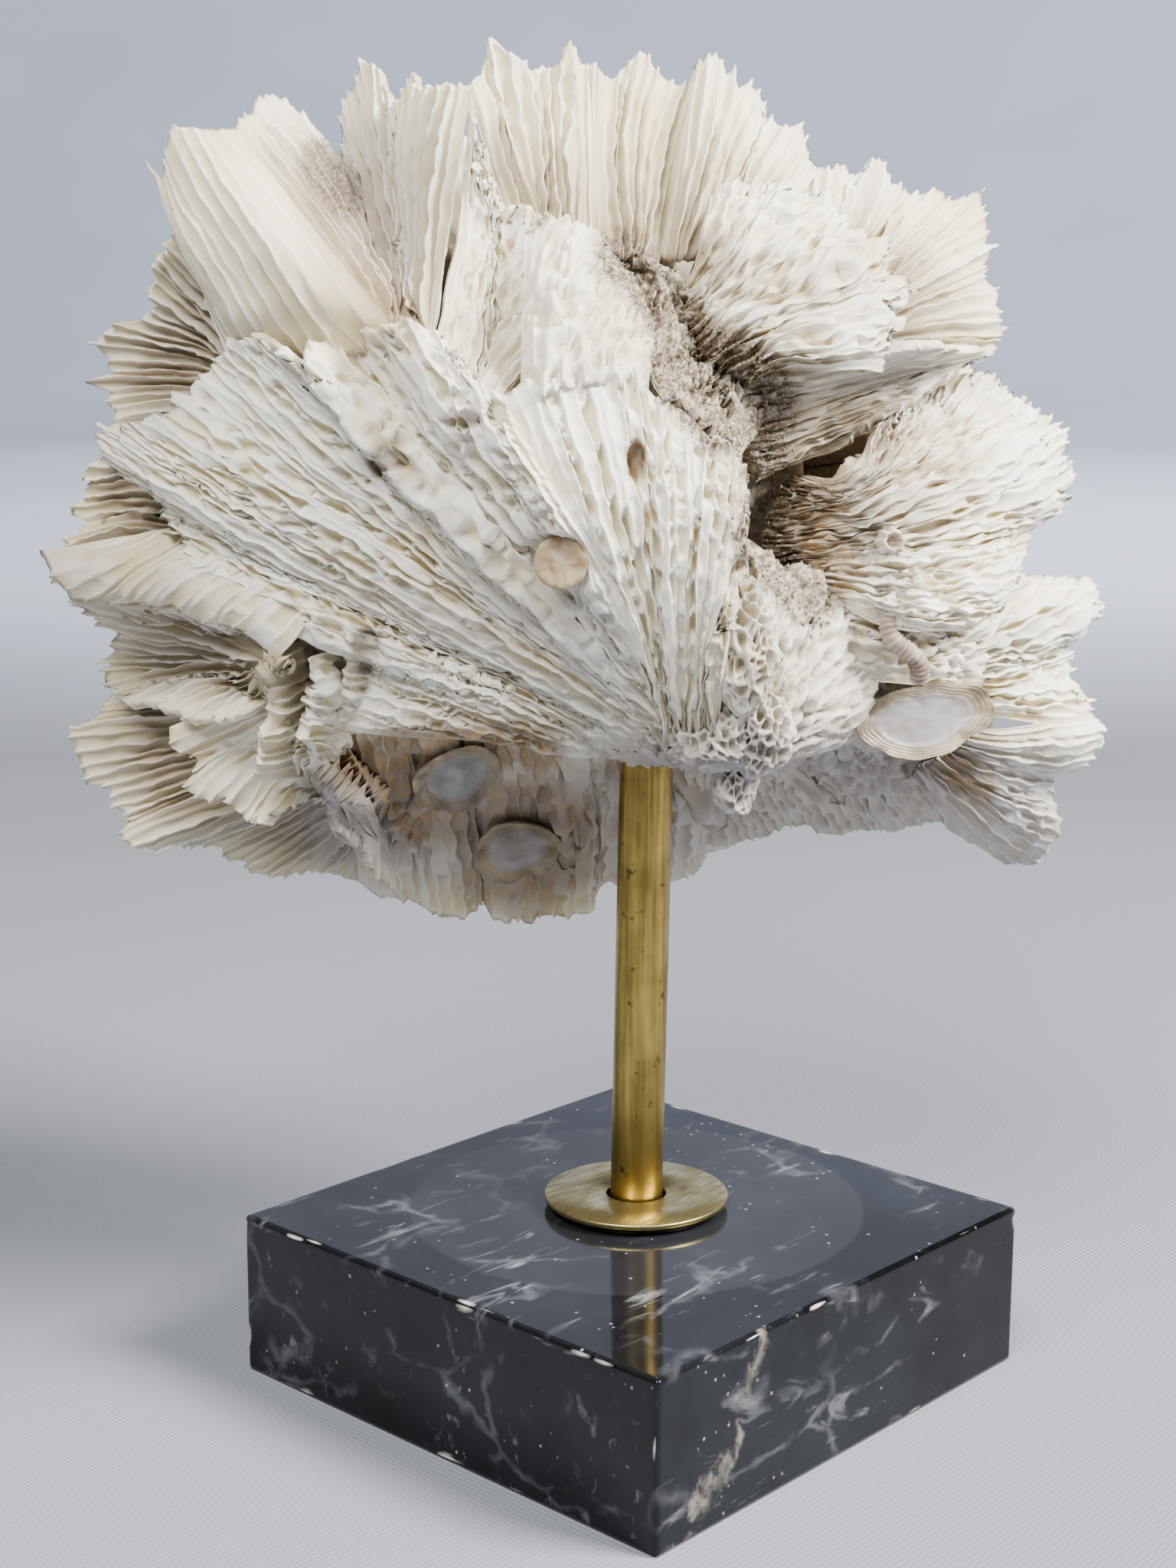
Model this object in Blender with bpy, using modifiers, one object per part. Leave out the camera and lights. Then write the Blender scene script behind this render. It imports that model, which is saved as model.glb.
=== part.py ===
"""Mushroom coral on a stand: a ruffled stony coral, with the oyster valves and the worm tube that
grew on it, carried by a brass stem through a brass collar on a polished marble block.

Everything is in metres, +Z up. The origin is the centre of the marble block's underside, and the
block's sides lie along X and Y. Run it with: blender --background --python part.py
"""

import math
from functools import partial

import bmesh
import bpy
import numpy as np
from mathutils import Matrix, Vector

MM = 0.001
GAP = 0.3 * MM  # between pieces that touch
CUT_PAST = 10 * MM  # how far a cutter runs past the face that it opens

# Marble block
BLOCK_SIDE = 100 * MM
BLOCK_HEIGHT = 30 * MM
BLOCK_CHAMFER = 1.2 * MM

# Brass stem and its collar. The stem stands a little off the block's centre, and leans to the show
# side's right.
STEM_X = -1.8 * MM
STEM_Y = 2.9 * MM
STEM_RADIUS = 4.75 * MM
STEM_LEAN = math.radians(0.85)
STEM_DEPTH_IN_BLOCK = 14 * MM
STEM_TOP = 142 * MM
BORE_BOTTOM = 60 * MM  # below the coral, so that the bore is open
COLLAR_RADIUS = 16.8 * MM
COLLAR_THICKNESS = 1.0 * MM
COLLAR_HOLE_RADIUS = 5.5 * MM
PAD_RADIUS = 15.6 * MM
PAD_THICKNESS = 0.8 * MM
ROUND_SEGMENTS = 36

# The coral's show side faces this far round from the block's -Y side, about Z.
SHOW_SIDE = math.radians(42.8)

# The coral is laid out as it looks from in front of its show side. A point (x, z, near) is in
# millimetres: x to the right and z up, both as they look in the plane of the stem, and near is how far
# in front of that plane the point really lies. The eye is at (right, near, up).
EYE = (-9.0, 419.0, 194.0)

# Coral solid
FAN_STEP = 3.0  # mm between points of a fan's surface
FAN_WALL = 3.0 * MM
VOXEL = 1.3 * MM
CORAL_TRIANGLES = 6900
ROUGH_SEED = 7

# The mass that the fans grow from, and the lumps of the old foot: centre (x, z, near) and radii
# (right, up, near).
HEARTS = [
    ((-4, 182, -26), (44, 24, 24)),
    ((10, 132, -4), (26, 22, 26)),
    ((42, 123, -14), (25, 20, 18)),
    ((-64, 197, -4), (15, 19, 11)),
    ((-38, 154, 0), (34, 20, 17)),
    ((-18, 162, 5), (36, 19, 21)),
    ((14, 118, 20), (11, 7, 8)),
    ((17, 109, 19), (4.5, 5.5, 4)),
    ((21, 119, 22), (6, 9, 6)),
    ((18, 134, 27), (6.5, 12, 6)),
]


def fan(root, rim, bulge=(0, 0, 0), ruffle=(0, 1, 0), wall=1.0):
    """One leaf of the coral: it runs from its root line out to its rim line, bulges by (right, up, near)
    halfway, and waves in and out by ruffle's (millimetres, number of waves, share of a wave at its start)."""
    return {"root": root, "rim": rim, "bulge": bulge, "ruffle": ruffle, "wall": wall}


FANS = {
    # The two great fans of the underside, which meet at the old foot of the colony
    "front_left": fan(
        [(-8, 117, 10), (0, 121, 20), (5, 130, 28)],
        [(-56, 119, 8), (-50, 130, 14), (-60, 141, 15), (-79, 147, 12), (-83, 157, 9), (-95, 171, 6),
         (-84, 173, 12), (-78, 180, 12), (-72, 186, 17), (-66, 188, 20), (-59, 184, 28), (-53, 188, 24),
         (-44, 190, 31), (-36, 188, 33), (-31, 181, 36), (-24, 177, 37)],
        bulge=(0, 0, 7), ruffle=(2.2, 7, 0.2)),
    "front_right": fan(
        [(3, 122, 24), (8, 119, 22), (14, 122, 24)],
        [(-24, 177, 37), (-19, 180, 36), (-12, 182, 35), (-5, 183, 34), (2, 178, 34), (8, 174, 33),
         (14, 171, 33), (17, 160, 31), (14, 152, 30), (16, 146, 29)],
        bulge=(0, 0, 7)),
    # Valleys of the upper side that show over the top and down the left
    "top_left_funnel": fan(
        [(-45, 189, 28), (-41, 190, 24), (-36, 188, 28)],
        [(-69, 221, 6), (-68, 225, 0), (-64, 226, -6), (-60, 225, -11), (-56, 221, -15), (-53, 215, -19),
         (-49, 228, -20), (-45, 232, -16), (-42, 226, -10), (-40, 229, -5), (-33, 230, 5), (-29, 228, 8)],
        bulge=(0, 0, -5)),
    "top_left_blade": fan(
        [(-72, 186, 14), (-62, 187, 20), (-50, 189, 27), (-44, 190, 29)],
        [(-84, 216, 4), (-81, 213, 8), (-79, 222, 6), (-74, 221, 8), (-69, 221, 7)],
        bulge=(-1, -1, 4), wall=1.5),
    "left_funnel_high": fan(
        [(-68, 186, 4), (-65, 180, 0), (-68, 174, 2)],
        [(-73, 203, 6), (-79, 206, 1), (-82, 202, -3), (-86, 202, -6), (-89, 194, -9), (-95, 186, -11),
         (-97, 180, -10), (-96, 174, -7), (-94, 166, -1)],
        bulge=(2, 0, -6)),
    "left_lobe": fan(
        [(-82, 167, 4), (-79, 157, 6), (-79, 149, 8)],
        [(-94, 170, -6), (-96, 165, -8), (-101, 159, -10), (-99, 154, -8), (-104, 151, -5), (-105, 148, -3),
         (-103, 144, -1)],
        bulge=(2, 0, -5)),
    "left_lip": fan(
        [(-86, 153, 4), (-78, 149, 10), (-68, 144, 15), (-58, 138, 20)],
        [(-105, 150, -1), (-103, 144, 2), (-99, 141, 3), (-88, 141, 7), (-78, 139, 12), (-70, 136, 16),
         (-64, 131, 20)],
        bulge=(0, 0, 3), wall=1.4),
    "left_funnel": fan(
        [(-63, 132, 20), (-65, 130, 16), (-66, 127, 18)],
        [(-70, 136, 16), (-78, 139, 12), (-88, 141, 6), (-99, 141, 0), (-98, 137, -6), (-96, 134, -9),
         (-97, 131, -11), (-95, 128, -11), (-96, 124, -9), (-92, 122, -3), (-87, 122, 3), (-82, 120, 8),
         (-76, 119, 13), (-70, 121, 17)],
        bulge=(3, 0, -6)),
    "left_low_sheet": fan(
        [(-62, 124, -2), (-54, 113, -4), (-45, 104, -8)],
        [(-93, 125, -17), (-96, 121, -16), (-101, 117, -14), (-98, 112, -14), (-97, 106, -14),
         (-92, 101, -14), (-94, 97, -12), (-90, 96, -13), (-80, 97, -17), (-70, 93, -20), (-65, 91, -20),
         (-58, 92, -22), (-50, 91, -24)],
        bulge=(0, 0, -4)),
    "left_low_lip": fan(
        [(-64, 124, 10), (-58, 113, 7), (-48, 104, 0)],
        [(-83, 119, 8), (-83, 113, 9), (-79, 107, 9), (-74, 104, 8), (-69, 101, 7), (-65, 103, 5),
         (-60, 104, 4), (-56, 102, 2), (-52, 97, -2), (-48, 92, -7), (-43, 88, -12)],
        bulge=(0, 0, -6), ruffle=(1.5, 5, 0)),
    "pocket_wall_a": fan([(-60, 133, 12), (-61, 110, 5)], [(-67, 130, 20), (-66, 121, 18), (-69, 109, 12)]),
    "pocket_wall_b": fan([(-53, 133, 12), (-55, 112, 4)], [(-58, 131, 21), (-60, 121, 19), (-60, 112, 13)]),
    "pocket_wall_c": fan([(-46, 133, 12), (-50, 118, 4)], [(-51, 133, 20), (-54, 125, 18), (-56, 117, 12)]),
    # The dark underside behind the stem
    "underside": fan(
        [(-54, 121, 0), (-30, 121, -5), (-8, 117, -7), (14, 114, -6)],
        [(-50, 91, -24), (-43, 87, -25), (-38, 86, -26), (-32, 83, -27), (-28, 87, -28), (-25, 84, -28),
         (-16, 85, -29), (-10, 84, -30), (-8, 89, -31), (-3, 90, -32), (3, 91, -33), (9, 92, -34),
         (12, 96, -35)],
        bulge=(0, 0, -2), wall=1.3),
    "underside_right": fan(
        [(10, 115, -8), (22, 117, -3), (34, 119, 1), (44, 118, 2)],
        [(12, 96, -35), (18, 98, -35), (26, 101, -33), (36, 101, -30), (45, 101, -27), (53, 102, -23),
         (58, 103, -20)],
        bulge=(0, 0, -2)),
    "right_low_fan": fan(
        [(48, 109, 0), (56, 113, 4), (62, 119, 6)],
        [(57, 103, -18), (61, 99, -16), (66, 95, -14), (70, 95, -13), (76, 101, -9), (74, 104, -8),
         (74, 110, -6), (79, 113, -4), (83, 118, -2), (80, 122, 0)],
        bulge=(0, 0, 3)),
    "right_mid_fan": fan(
        [(46, 124, 6), (52, 131, 8), (54, 139, 8)],
        [(82, 119, -4), (80, 123, -5), (78, 127, -6), (75, 132, -8), (77, 138, -10), (81, 141, -12),
         (79, 145, -12), (70, 145, -10), (65, 147, -8)],
        bulge=(0, 0, 3)),
    "right_lobe": fan(
        [(32, 142, 10), (28, 153, 6), (30, 163, 4)],
        [(58, 138, 6), (67, 147, -1), (69, 156, -6), (74, 163, -10), (74, 168, -11), (72, 174, -12),
         (66, 178, -12), (58, 181, -10), (50, 179, -6), (40, 172, 2)],
        bulge=(0, -2, 10)),
    "worm_slope": fan(
        [(31, 148, 10), (34, 140, 13), (36, 128, 13)],
        [(54, 149, 10), (57, 142, 9), (61, 133, 7), (60, 126, 8)],
        bulge=(0, 0, 1)),
    "grey_patch": fan(
        [(20, 112, 18), (22, 120, 22), (20, 132, 24)],
        [(38, 117, 11), (41, 124, 12), (38, 132, 13), (36, 140, 13), (31, 147, 12), (24, 150, 16),
         (18, 153, 22)],
        bulge=(0, 0, 2)),
    # Upper right
    "right_high_under": fan(
        [(21, 163, 6), (20, 172, 9), (20, 183, 12)],
        [(34, 168, 4), (44, 174, 5), (51, 178, 4), (61, 185, 0), (52, 186, 8), (44, 184, 12)],
        bulge=(0, 0, -3)),
    "right_high_near": fan(
        [(8, 197, 10), (14, 187, 14), (24, 182, 16)],
        [(12, 212, 2), (20, 214, 0), (28, 213, 1), (36, 208, 3), (43, 201, 6), (46, 195, 8), (45, 188, 11),
         (41, 181, 13)],
        bulge=(0, 0, 4), ruffle=(1.6, 4, 0)),
    "right_high_far": fan(
        [(28, 200, 0), (36, 194, 2), (42, 184, 5)],
        [(27, 215, -6), (33, 216, -9), (36, 214, -11), (40, 218, -13), (43, 213, -14), (50, 211, -15),
         (57, 210, -16), (58, 203, -14), (60, 197, -12), (63, 191, -9), (62, 187, -6), (60, 184, -2)],
        bulge=(0, 0, 3), ruffle=(1.2, 5, 0)),
    # Top
    "top_left_fan": fan(
        [(-24, 208, 10), (-17, 206, 10), (-8, 204, 12)],
        [(-30, 228, 3), (-28, 231, 0), (-25, 235, -2), (-18, 233, -4), (-14, 234, -5), (-13, 236, -6),
         (-11, 234, -6), (-8, 232, -6)],
        bulge=(0, 0, -3), ruffle=(1.2, 3, 0)),
    "top_mid_fan": fan(
        [(-8, 204, 11), (-3, 202, 9), (3, 201, 8)],
        [(-9, 232, -6), (-6, 230, -8), (-1, 234, -11), (3, 231, -11), (8, 230, -12), (10, 232, -12)],
        bulge=(0, 0, -3)),
    "top_right_fan": fan(
        [(4, 203, 8), (11, 203, 8), (20, 202, 6)],
        [(8, 231, -12), (10, 234, -13), (15, 231, -13), (19, 227, -12), (20, 223, -10), (25, 223, -9),
         (27, 218, -7), (29, 214, -4)],
        bulge=(0, 0, 2)),
    "hollow_wall": fan(
        [(-35, 186, 29), (-28, 181, 25), (-22, 179, 31)],
        [(-29, 228, 8), (-26, 218, 10), (-22, 210, 12), (-16, 208, 14), (-9, 206, 14), (-7, 200, 18)],
        bulge=(0, 0, -5)),
    "web_wall": fan(
        [(-21, 178, 35), (-10, 181, 34), (1, 179, 33)],
        [(-20, 204, 16), (-12, 207, 15), (-6, 203, 14), (-2, 197, 16), (2, 190, 19)],
        bulge=(0, 0, 3)),
    "brown_hollow": fan(
        [(2, 179, 30), (9, 173, 27), (17, 166, 26)],
        [(-5, 203, 12), (2, 200, 12), (8, 196, 11), (15, 190, 12), (20, 184, 14), (22, 175, 13)],
        bulge=(0, 0, -7)),
}

# The upper side of the colony, which faces away from the show side: long valleys that radiate from the
# middle of the back, with one thin high wall between each two. Seeds stand in rings about the back's
# middle, one for each stretch of valley, and a wall stands halfway between seeds of different valleys.
BACK_CENTRE = (-12, 159, -24)
BACK_REACH = (80, 68, 61)  # right, up, near, from the centre to the walls' crests
BACK_FLOOR = 0.58  # the valley floors' distance from the centre, as a share of the reach
BACK_RINGS = [(14, 4), (40, 11), (66, 15), (92, 17)]  # degrees from the back's middle, and seeds in the ring
BACK_SIZE = 72  # mm, the back's mean radius
VALLEY_STRETCH = 0.6
WALL_FOOT = 4.5  # mm, how fast a wall widens towards its foot
WALL_HALF = 0.9
JOINED_VALLEYS = 0.5  # the share of seeds whose valley runs on into the next ring

# What grew on the coral. An oyster has its place (x, z, near), the way it faces (right, up, near), its
# two radii in millimetres and its turn in degrees.
OYSTERS = {
    "oyster_left": ((-32.5, 110, -6), (0.15, -0.35, 0.9), (7.6, 6.6), 20),
    "oyster_lower": ((-22, 97, -17), (0.1, -0.5, 0.85), (7.2, 8.2), -25),
    "oyster_right": ((50, 120.5, 12.5), (0.1, 0.25, 0.95), (11.5, 6.6), 5),
}
SOCKET_RISE = 4  # how many gaps a socket is cut above what sits in it
OYSTER_DEPTH = 3.2
OYSTER_LIP = 1.6
PLATE_SPOT = (-14, 148.3, 38.5)
PLATE_FACING = (-0.1, -0.12, 1)
PLATE_RADIUS = 4.3 * MM
PLATE_THICKNESS = 1.4 * MM
BARNACLE_SPOT = (43.4, 152, 12)
BARNACLE_FACING = (0.15, 0.2, 1)
BARNACLE_RADIUS = 2.7 * MM
BARNACLE_HEIGHT = 2.6 * MM
WORM_PATH = [(43.7, 144, 13.5), (43.2, 139.5, 16.2), (44, 135.5, 17.2), (46.6, 133, 17), (48.8, 131, 16.4),
             (49.2, 128, 15)]
WORM_RADIUS = 1.8 * MM


def real(point):
    """A point laid out by eye, (x, z, near) in millimetres, as (right, near, up) in millimetres."""
    x, z, near = point
    share = (EYE[1] - near) / EYE[1]
    return np.array([EYE[0] + (x - EYE[0]) * share, near, EYE[2] + (z - EYE[2]) * share])


def in_part(points):
    """(right, near, up) in millimetres from the stem's axis, as metres in the part's own frame."""
    right, near, up = np.moveaxis(np.asarray(points, float), -1, 0) * MM
    cos, sin = math.cos(SHOW_SIDE), math.sin(SHOW_SIDE)
    return np.stack([STEM_X + right * cos + near * sin, STEM_Y + right * sin - near * cos, up], -1)


def along(points, shares):
    """Points at these shares of the length of a smooth curve through the given points."""
    points = np.asarray(points, float)
    steps = np.linalg.norm(np.diff(points, axis=0), axis=1)
    knots = np.concatenate([[0], np.cumsum(steps)]) / steps.sum()
    if len(points) == 2:
        slopes = np.repeat([points[1] - points[0]], 2, axis=0)
    else:
        slopes = np.gradient(points, knots, axis=0)
    span = np.clip(np.searchsorted(knots, shares, side="right") - 1, 0, len(points) - 2)
    width = (knots[span + 1] - knots[span])[:, None]
    t = (shares[:, None] - knots[span][:, None]) / width
    return (
        (2 * t**3 - 3 * t**2 + 1) * points[span]
        + (t**3 - 2 * t**2 + t) * width * slopes[span]
        + (-2 * t**3 + 3 * t**2) * points[span + 1]
        + (t**3 - t**2) * width * slopes[span + 1]
    )


def fan_surface(leaf, shares, heights):
    """Points of a fan, as an array [share along the rim, height from root to rim, (right, near, up)]."""
    root = along([real(p) for p in leaf["root"]], shares)[:, None, :]
    rim = along([real(p) for p in leaf["rim"]], shares)[:, None, :]
    h = heights[None, :, None]
    right, up, near = leaf["bulge"]
    surface = root * (1 - h) + rim * h + 4 * h * (1 - h) * np.array([right, near, up])
    depth, waves, start = leaf["ruffle"]
    wave = depth * np.sin(2 * math.pi * (waves * shares + start))[:, None, None] * h**1.5
    return surface + wave * np.array([0, 1, 0])


def back_seeds():
    """Directions (right, near, up) of the valley seeds, and the number of the valley that each belongs to."""
    chance = np.random.default_rng(ROUGH_SEED)
    seeds, valleys, last_ring = [], [], []
    for angle, count in BACK_RINGS:
        ring = []
        start = chance.uniform(0, 2 * math.pi)
        for k in range(count):
            away = math.radians(angle + chance.uniform(-4, 4))
            turn = start + 2 * math.pi * (k + chance.uniform(-0.2, 0.2)) / count
            out = math.sin(away)
            seed = np.array([out * math.cos(turn), -math.cos(away), out * math.sin(turn)])
            valley = len(seeds)
            if last_ring and chance.uniform() < JOINED_VALLEYS:
                valley = valleys[min(last_ring, key=lambda other: np.linalg.norm(seeds[other] - seed))]
            ring.append(len(seeds))
            seeds.append(seed)
            valleys.append(valley)
        last_ring = ring
    return np.array(seeds), np.array(valleys)


def back_share(seeds, valleys, directions):
    """How far out the back's surface lies in each direction, as a share of its reach."""
    right, near, up = directions.T
    wander = np.stack([
        np.sin(9 * up + 5 * near + 0.5), np.sin(8 * right - 7 * up), np.sin(10 * right + 6 * near + 2)], -1)
    looked = directions + 0.06 * wander
    nearest = np.full((len(np.unique(valleys)), len(directions)), np.inf)
    numbers = {valley: k for k, valley in enumerate(np.unique(valleys))}
    for seed, valley in zip(seeds, valleys):
        outward = np.array([0, 1, 0]) - seed[1] * seed
        outward /= np.linalg.norm(outward)
        gap = (looked - seed) * BACK_SIZE
        along_valley = gap @ outward
        across = gap - along_valley[:, None] * outward
        distance = np.sqrt((VALLEY_STRETCH * along_valley) ** 2 + (across**2).sum(-1))
        row = numbers[valley]
        nearest[row] = np.minimum(nearest[row], distance)
    nearest.partition(1, axis=0)
    from_wall = (nearest[1] - nearest[0]) / 2
    wall = np.exp(-np.maximum(0, from_wall - WALL_HALF) / WALL_FOOT)
    crest = 0.95 + 0.05 * np.sin(23 * right + 17 * up + 9 * near)
    share = BACK_FLOOR + (crest - BACK_FLOOR) * wall
    front = np.clip((near - 0.15) / 0.35, 0, 1)
    return share * (1 - front) + 0.6 * front


def clear_scene():
    for old in list(bpy.data.objects):
        bpy.data.objects.remove(old)


def collection(name):
    made = bpy.data.collections.new(name)
    bpy.context.scene.collection.children.link(made)
    return made


def material(name, colour, roughness, metallic=0.0):
    made = bpy.data.materials.new(name)
    made.use_nodes = True
    shader = made.node_tree.nodes["Principled BSDF"]
    shader.inputs["Base Color"].default_value = (*colour, 1)
    shader.inputs["Roughness"].default_value = roughness
    shader.inputs["Metallic"].default_value = metallic
    return made


def object_of(mesh, name, home, finish=None):
    made = bpy.data.objects.new(name, mesh)
    home.objects.link(made)
    if finish:
        mesh.materials.clear()
        mesh.materials.append(finish)
    return made


def evaluated_mesh(source):
    """The mesh of an object with its modifiers applied."""
    graph = bpy.context.evaluated_depsgraph_get()
    return bpy.data.meshes.new_from_object(source.evaluated_get(graph))


def mesh_of(cage, name):
    """Turns a bmesh into a mesh and frees it."""
    mesh = bpy.data.meshes.new(name)
    cage.to_mesh(mesh)
    cage.free()
    return mesh


def stem_line(lean):
    """A frame whose Z is the stem's axis and whose origin is on it at the height of the block's top."""
    across = Vector((-math.sin(SHOW_SIDE), math.cos(SHOW_SIDE), 0))
    return Matrix.Translation((STEM_X, STEM_Y, BLOCK_HEIGHT)) @ Matrix.Rotation(lean, 4, across)


def cylinder(name, home, radius, bottom, top, finish=None, lean=0.0, segments=ROUND_SEGMENTS):
    """A round bar or disc about the stem's axis, from one height to another."""
    cage = bmesh.new()
    bmesh.ops.create_cone(
        cage, cap_ends=True, segments=segments, radius1=radius, radius2=radius, depth=top - bottom)
    made = object_of(mesh_of(cage, name), name, home, finish)
    made.matrix_world = stem_line(lean) @ Matrix.Translation((0, 0, (bottom + top) / 2 - BLOCK_HEIGHT))
    return made


def facing_frame(spot, facing, roll=0.0):
    """A frame at a spot laid out by eye whose Z points along facing (right, up, near)."""
    right, up, near = facing
    there, ahead = in_part(np.array([real(spot), real(spot) + np.array([right, near, up])]))
    turn = Vector(ahead - there).to_track_quat("Z", "Y").to_matrix().to_4x4()
    return Matrix.Translation(there) @ turn @ Matrix.Rotation(math.radians(roll), 4, "Z")


def oyster(name, home, finish=None, grow=0.0):
    """A cemented oyster valve: a shallow uneven saucer with a raised lip."""
    spot, facing, radii, roll = OYSTERS[name.removesuffix("_socket")]
    cage = bmesh.new()
    bmesh.ops.create_uvsphere(cage, u_segments=18, v_segments=8, radius=1)
    for corner in cage.verts:
        x, y, z = corner.co
        out = math.hypot(x, y)
        turn = math.atan2(y, x)
        uneven = 1 + 0.07 * math.sin(2 * turn + 0.8) + 0.05 * math.sin(3 * turn)
        upper = z > -0.01
        height = OYSTER_LIP * out**2 if upper else z * OYSTER_DEPTH
        if grow:
            height += grow / MM * (SOCKET_RISE if upper else -1)
        wide, deep = radii[0] * MM + grow, radii[1] * MM + grow
        corner.co = (x * uneven * wide, y * uneven * deep, height * MM)
    made = object_of(mesh_of(cage, name), name, home, finish)
    made.matrix_world = facing_frame(spot, facing, roll)
    return made


def low_cone(name, home, spot, facing, radius, top_radius, height, finish=None, grow=0.0):
    """A round plate or cone, half sunk in the coral. A grown one is its socket, which is open at the top."""
    cage = bmesh.new()
    rise = grow * SOCKET_RISE
    bmesh.ops.create_cone(
        cage, cap_ends=True, segments=28, radius1=radius + grow, radius2=top_radius + grow,
        depth=height + grow + rise)
    made = object_of(mesh_of(cage, name), name, home, finish)
    made.matrix_world = facing_frame(spot, facing) @ Matrix.Translation((0, 0, (rise - grow) / 2))
    return made


def worm_tube(name, home, finish=None, grow=0.0):
    """The limy tube of a worm, which winds over the coral."""
    path = along([real(p) for p in WORM_PATH], np.linspace(0, 1, 16))
    curve = bpy.data.curves.new(name, "CURVE")
    curve.dimensions = "3D"
    curve.bevel_depth = WORM_RADIUS + grow
    curve.bevel_resolution = 3
    curve.use_fill_caps = True
    line = curve.splines.new("POLY")
    line.points.add(len(path) - 1)
    for point, place in zip(line.points, in_part(path)):
        point.co = (*place, 1)
    guide = object_of(curve, name + "_path", home)
    bpy.context.view_layer.update()
    cage = bmesh.new()
    cage.from_mesh(evaluated_mesh(guide))
    bpy.data.objects.remove(guide)
    bmesh.ops.remove_doubles(cage, verts=cage.verts, dist=0.00001)
    bmesh.ops.recalc_face_normals(cage, faces=cage.faces)
    return object_of(mesh_of(cage, name), name, home, finish)


def cutter(made):
    made.hide_render = True
    made.display_type = "WIRE"
    return made


def cut(target, tool):
    boolean = target.modifiers.new("cut " + tool.name, "BOOLEAN")
    boolean.operation = "DIFFERENCE"
    boolean.object = tool
    boolean.solver = "EXACT"


def surface_sheet(name, home, surface, thickness):
    """An open grid laid over a surface, with Solidify for its wall."""
    across, up = surface.shape[:2]
    cage = bmesh.new()
    bmesh.ops.create_grid(cage, x_segments=across - 1, y_segments=up - 1, size=0.5)
    points = in_part(surface)
    for corner in cage.verts:
        i = round((corner.co.x + 0.5) * (across - 1))
        j = round((corner.co.y + 0.5) * (up - 1))
        corner.co = points[i, j]
    made = cutter(object_of(mesh_of(cage, name), name, home))
    wall = made.modifiers.new("wall", "SOLIDIFY")
    wall.thickness = thickness
    wall.offset = 0
    return made


def grid_shares(length):
    return np.linspace(0, 1, max(6, round(length / FAN_STEP)) + 1)


def blob(name, home, fineness, centre, radii, share=None):
    """A closed ball with three radii (right, up, near). share gives how much of them a direction reaches."""
    cage = bmesh.new()
    bmesh.ops.create_icosphere(cage, subdivisions=fineness, radius=1)
    directions = np.array([corner.co for corner in cage.verts])
    out = directions if share is None else directions * share(directions)[:, None]
    points = in_part(real(centre) + out * np.array([radii[0], radii[2], radii[1]]))
    for corner, point in zip(cage.verts, points):
        corner.co = point
    bmesh.ops.recalc_face_normals(cage, faces=cage.faces)
    return cutter(object_of(mesh_of(cage, name), name, home))


def coral_sheets(home):
    """Every leaf of the coral, and the mass that they grow from, as overlapping closed shapes."""
    made = []
    for name, leaf in FANS.items():
        rim = np.array([real(p) for p in leaf["rim"]])
        root = np.array([real(p) for p in leaf["root"]])
        length = np.linalg.norm(np.diff(rim, axis=0), axis=1).sum()
        height = np.linalg.norm(rim.mean(0) - root.mean(0))
        surface = fan_surface(leaf, grid_shares(length), grid_shares(height))
        made.append(surface_sheet(name, home, surface, FAN_WALL * leaf["wall"]))
    for k, (centre, radii) in enumerate(HEARTS):
        made.append(blob(f"heart_{k + 1}", home, 4, centre, radii))
    made.append(blob("back", home, 6, BACK_CENTRE, BACK_REACH, partial(back_share, *back_seeds())))
    return made


def joined(sources):
    """One mesh that holds every source as it is evaluated."""
    cage = bmesh.new()
    bpy.context.view_layer.update()
    for source in sources:
        mesh = evaluated_mesh(source)
        mesh.transform(source.matrix_world)
        cage.from_mesh(mesh)
        bpy.data.meshes.remove(mesh)
    return mesh_of(cage, "coral")


def keep_outer_shell(mesh):
    """Removes every separate shell but the largest, so that no sealed hollow or crumb is left."""
    cage = bmesh.new()
    cage.from_mesh(mesh)
    unseen = set(cage.verts)
    shells = []
    while unseen:
        front = [unseen.pop()]
        shell = set(front)
        while front:
            for edge in front.pop().link_edges:
                for corner in edge.verts:
                    if corner in unseen:
                        unseen.discard(corner)
                        shell.add(corner)
                        front.append(corner)
        shells.append(shell)
    largest = max(shells, key=len)
    bmesh.ops.delete(cage, geom=[c for c in cage.verts if c not in largest], context="VERTS")
    cage.to_mesh(mesh)
    cage.free()


def coral(home, helpers, finish):
    """The colony as one solid: the leaves and their heart fused by a voxel remesh, then thinned."""
    sheets = coral_sheets(helpers)
    made = object_of(joined(sheets), "coral", home, finish)
    for sheet in sheets:
        bpy.data.objects.remove(sheet)
    fuse = made.modifiers.new("fuse", "REMESH")
    fuse.mode = "VOXEL"
    fuse.voxel_size = VOXEL
    fused = evaluated_mesh(made)
    made.modifiers.clear()
    keep_outer_shell(fused)
    made.data = fused
    triangles = 2 * len(fused.polygons)
    thin = made.modifiers.new("thin", "DECIMATE")
    thin.ratio = CORAL_TRIANGLES / triangles
    thin.use_collapse_triangulate = True
    return made


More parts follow.
